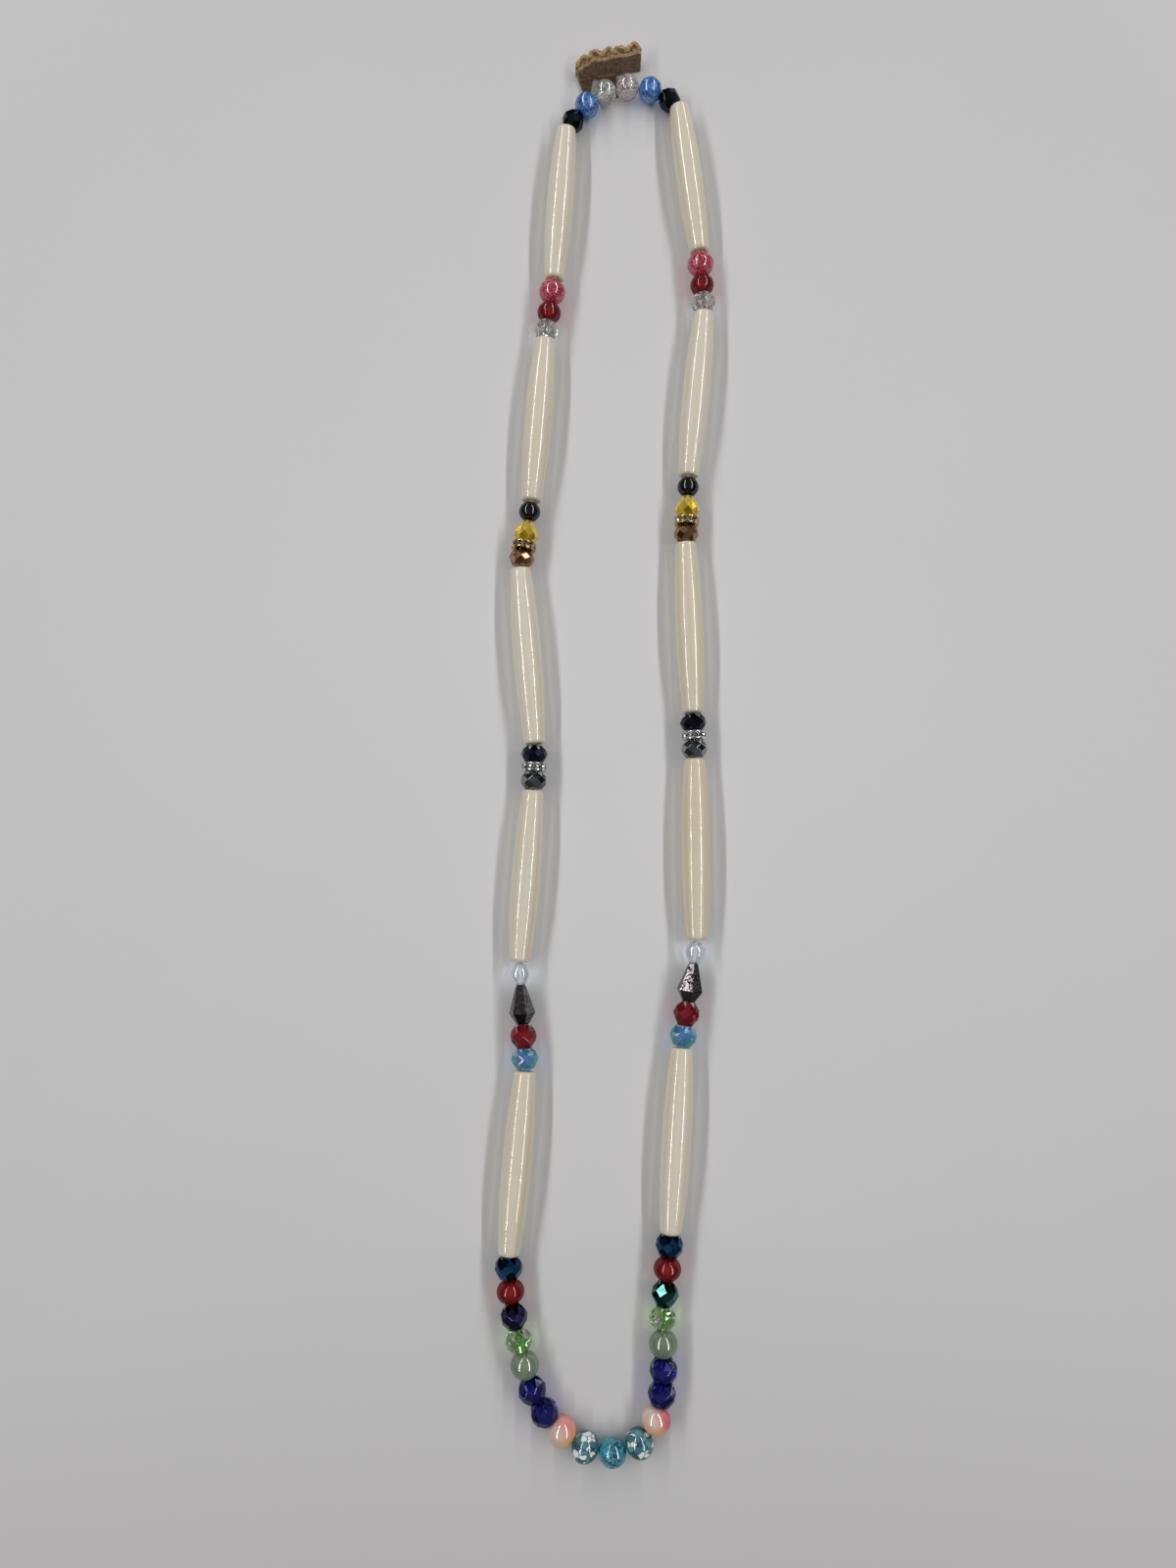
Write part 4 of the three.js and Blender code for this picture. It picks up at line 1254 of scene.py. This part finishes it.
# %% The thread
THREAD_WIDTH = 0.5
THREAD_FLATNESS = 0.62
THREAD_TWISTS = 420.0
THREAD_STEPS = 3000
STRAND_STEPS = 8


def thread_tree():
    sizes = {"Width": THREAD_WIDTH * MM, "Twists": THREAD_TWISTS}
    tree, start = geometry_tree("twist_a_thread", "Path", sizes, "Thread")
    fine = node(tree, "GeometryNodeResampleCurve", {"Curve": start["Path"], "Count": THREAD_STEPS})
    share = node(tree, "GeometryNodeSplineParameter").outputs["Factor"]
    angle = maths(tree, "MULTIPLY", maths(tree, "MULTIPLY", share, start["Twists"]), math.tau)
    tilted = node(tree, "GeometryNodeSetCurveTilt", {"Curve": fine.outputs[0], "Tilt": angle}).outputs[0]
    scale = vector_of(tree, start["Width"], maths(tree, "MULTIPLY", start["Width"], THREAD_FLATNESS), 1.0)
    section = node(tree, "GeometryNodeTransform", {
        "Geometry": circle_in(tree, STRAND_STEPS, 0.5), "Scale": scale,
    }).outputs[0]
    return end_tree(tree, start, swept_in(tree, tilted, section), "Thread")


thread_finish, tree, shader = new_finish("thread_finish", Roughness=0.8, Sheen_Weight=0.3)
fuzz = noise_in(tree, 5000.0, 3.0)
feed(tree, shader, {"Base Color": blend_colours(tree, fuzz, rgb(176, 168, 150), rgb(226, 220, 206))})
thread_mesh = through(thread_tree(), curve_through(joints), {
    "Width": THREAD_WIDTH * MM, "Twists": THREAD_TWISTS, "Finish": thread_finish,
})
finished("twisted_thread", thread_mesh, thread_finish, "thread")
print("thread faces:", len(thread_mesh.polygons))

# %% [markdown]
# ## The suede tab
# Behind the two clear beads stands a small tab of brown suede. Its front ply is flat and dark, and
# the ply behind it is fluted, with paler cut edges. Suede is soft and its edges are never sharp. So
# the plies are first built as plain closed walls, then melted into one skin by a voxel Remesh, and
# then roughened with noise, which also rounds the edges. A tone on each vertex keeps the front dark
# and the back pale. It also makes faces that turn up paler, partly for their pale cut edges and
# partly as painted light from above, and it turns the low foot near black as painted shade.

# %% The walls of the tab
TAB_WIDTH = 20.2
TAB_HEIGHT = 7.7
TAB_LOW_END = 4.4
TAB_TURN = math.radians(11)
TAB_SETBACK = 7.5
TAB_SHIFT = -2.0
PLY = 1.3
FLUTES = 5
FLUTE_STEPS = 10
FLUTE_DEPTH = 3.3
FLUTE_WALL = 0.9
FLUTE_FRAY = 0.2
FLUTE_DROP = 0.1
CORE_WIDTH = 2.0
CORE_DROP = 1.3
FRONT_STEPS = 24
TOP_MARGIN = 0.4
END_MARGIN = 0.2
CUT_WIDTH = 5.0
WOBBLES = ((0.25, 0.9, 0.0), (0.15, 2.3, 1.0))
FOOT_HEIGHT = 1.3
FOOT_START = 0.6
LEFT_FOOT_REACH = -4.5
WALL_OVERLAP = 0.08
WALL_BOTTOM = 0.1
SUEDE_VOXEL = 0.17
SUEDE_SMOOTHING = 3


def prism(builder, outline, heights):
    """A closed prism over a plan outline, with a height for each corner."""
    base = [builder.verts.new((x * MM, y * MM, WALL_BOTTOM * MM)) for x, y in outline]
    top = [builder.verts.new((x * MM, y * MM, z * MM)) for (x, y), z in zip(outline, heights)]
    for k in range(len(outline)):
        n = (k + 1) % len(outline)
        builder.faces.new((base[k], base[n], top[n], top[k]))
    builder.faces.new(list(reversed(base)))
    builder.faces.new(top)


def tab_top(x):
    """Height of the tab across its width: cut down at its left end, a little uneven elsewhere."""
    rise = min(1.0, (x + TAB_WIDTH / 2) / CUT_WIDTH)
    wobble = sum(depth * math.sin(x * pace + start) for depth, pace, start in WOBBLES)
    return TAB_LOW_END + (TAB_HEIGHT - TOP_MARGIN - TAB_LOW_END) * rise + wobble * rise


def flute_top(x):
    return tab_top(x) - FLUTE_DROP + FLUTE_FRAY * math.sin(3.1 * x)


def core_top(x):
    return tab_top(x) - CORE_DROP


def ribbon(builder, centre_line, thickness, height):
    """A wall along a plan line, made of short prisms that share their ends."""
    for first, second in zip(centre_line[:-1], centre_line[1:]):
        start, end = Vector(first), Vector(second)
        along = (end - start).normalized()
        out = Vector((-along.y, along.x)) * thickness / 2
        over = along * WALL_OVERLAP
        outline = [start - out - over, end - out + over, end + out + over, start + out - over]
        prism(builder, outline, [height(start.x), height(end.x), height(end.x), height(start.x)])


def foot(builder, back_left, front_left, front_right, back_right, reach):
    """A low tongue that runs from under the front ply to the front, towards the beads."""
    outline = [(back_left, FOOT_START), (front_left, reach), (front_right, reach), (back_right, FOOT_START)]
    prism(builder, outline, [FOOT_HEIGHT - WALL_BOTTOM] * len(outline))


builder = bmesh.new()
half = TAB_WIDTH / 2 - END_MARGIN
front_line = [(-half + 2 * half * i / FRONT_STEPS, PLY / 2) for i in range(FRONT_STEPS + 1)]
flutes = []
for i in range(FLUTES * FLUTE_STEPS + 1):
    phase = i / FLUTE_STEPS
    bulge = math.sqrt(abs(math.sin(math.pi * phase)))
    flutes.append((-half + 2 * half * phase / FLUTES, 1.5 * PLY + (FLUTE_DEPTH - PLY) * bulge))
ribbon(builder, front_line, PLY, tab_top)
ribbon(builder, flutes, PLY * FLUTE_WALL, flute_top)
ribbon(builder, [(x, PLY + FLUTE_WALL) for x, _ in front_line], CORE_WIDTH, core_top)
foot(builder, -4.2, -1.5, 1.5, 2.2, -TAB_SETBACK)
left = -TAB_WIDTH / 2
foot(builder, left + 0.2, left + 0.9, left + 3.1, left + 5.1, LEFT_FOOT_REACH)
walls = in_scene("suede_tab_walls", mesh_of(builder, "suede_tab_walls"))
melt = walls.modifiers.new("melt", "REMESH")
melt.mode = "VOXEL"
melt.voxel_size = SUEDE_VOXEL * MM
soften = walls.modifiers.new("soften", "SMOOTH")
soften.factor = 0.5
soften.iterations = SUEDE_SMOOTHING
suede_mesh = evaluated_mesh(walls)
print("suede faces:", len(suede_mesh.polygons))

# %% [markdown]
# The nap of suede is a fine fur that stands up unevenly. Noise of two sizes moves each point of the
# skin a little and also shifts its tone, so that raised spots are paler. A voxel skin doesn't know
# the beads in front of it, so the foot is pushed clear of them as well: any point that would be
# inside a bead is moved out to its surface, with a hair of room to spare.

# %% The nap, and room for the beads
NAP_DEPTH = 0.12
NAP_COARSE = 1700
NAP_FINE = 5000
FOOT_BEHIND = -0.3
FOOT_TOP = 1.5
FOOT_PAINTED_SHADE = -0.3
LOWEST = 0.02
BEAD_ROOM = 0.05
UNDER_BEAD = 0.75


def set_points(mesh, spots):
    """Moves a mesh's vertices, but none of them into the table."""
    spots[:, 2] = np.maximum(spots[:, 2], LOWEST * MM)
    mesh.vertices.foreach_set("co", spots.ravel())
    mesh.update()


def clear_of(spots, middle):
    """Moves every point that is inside a bead out to its surface."""
    reach = middle[2] + BEAD_ROOM * MM
    away = spots - middle
    far = np.linalg.norm(away, axis=1)
    flat = np.linalg.norm(away[:, :2], axis=1)
    inside = far < reach
    under = inside & (away[:, 2] < 0) & (flat < reach * UNDER_BEAD)
    beside = inside & ~under
    spots[under, 2] = middle[2] - np.sqrt(reach ** 2 - flat[under] ** 2)
    spots[beside] = middle + away[beside] * (reach / far[beside])[:, None]


spots, normals = points_of(suede_mesh), points_of(suede_mesh, "normal")
nap = np.array([
    noise.noise(Vector(s) * NAP_COARSE) * 0.6 + noise.noise(Vector(s) * NAP_FINE) * 0.4 for s in spots
])
back_share = (spots[:, 1] / MM - 1.0) / PLY
# Faces that turn up get a paler tone, partly for the pale cut edges and partly as painted light from above.
# The back ply is paler, and the nap adds tone at random.
tones = np.clip(0.2 + 0.35 * back_share + normals[:, 2] * 0.4 + nap * 0.4, 0, 1)
# The low foot gets a tone below zero, which the finish turns near black: painted shade under the beads.
in_foot = (spots[:, 1] < FOOT_BEHIND * MM) & (spots[:, 2] < FOOT_TOP * MM)
mark(suede_mesh, "cut_edge", np.where(in_foot, FOOT_PAINTED_SHADE, tones), "POINT")
set_points(suede_mesh, spots + normals * nap[:, None] * NAP_DEPTH * MM)
suede_mesh.shade_smooth()

back_joint = joints[loop.index("clear_crackle_left")]
tab_place = Matrix.Translation((back_joint.x + TAB_SHIFT * MM, back_joint.y + TAB_SETBACK * MM, 0))
suede_mesh.transform(tab_place @ Matrix.Rotation(TAB_TURN, 4, "Z"))
spots = points_of(suede_mesh)
for name in ("clear_crackle_left", "clear_crackle_right", "blue_crackle_left", "blue_crackle_right"):
    clear_of(spots, np.array(middle_of(name)))
set_points(suede_mesh, spots)
print(f"the nap moves the skin by up to {np.abs(nap).max() * NAP_DEPTH:.2f} mm")

# %% [markdown]
# The finish of the suede is dry: rough all over, with a little sheen from the fibres and no gloss.
# Its colour goes from dark brown specks to tan ones, and the paler pair of colours takes over where
# the tone on the vertices is high: on the back ply, and on faces that turn up, partly for their pale
# cut edges and partly as painted light from above. Where the tone is below zero, in the foot, the
# colour goes near black: painted shade.

# %% The suede finish
suede, tree, shader = new_finish(
    "suede_finish", Sheen_Weight=0.35, Sheen_Roughness=0.5, Specular_IOR_Level=0.15,
)
# The vertex tone: high on the back ply and on faces that turn up (partly painted light), and below zero in
# the foot (painted shade).
edge = attribute_in(tree, "cut_edge")
fibres = noise_in(tree, 1100.0, 6.0, 0.7)
speck = remap(tree, fibres, 0.35, 0.62)
dark = blend_colours(tree, speck, rgb(68, 46, 28), rgb(140, 108, 76))
pale = blend_colours(tree, speck, rgb(96, 70, 44), rgb(188, 158, 116))
# Painted shade: where the tone is below zero, in the foot, the colour goes near black.
painted_foot_shade = blend_colours(tree, remap(tree, edge, -0.5, 0.0), rgb(30, 20, 14), dark)
feed(tree, shader, {
    "Base Color": blend_colours(tree, edge, painted_foot_shade, pale),
    "Roughness": remap(tree, fibres, 0.3, 0.7, 0.85, 1.0),
})
bumped(tree, shader, fibres, 0.8, 0.0002)
finished("suede_tab_skin", suede_mesh, suede, "suede_tab")
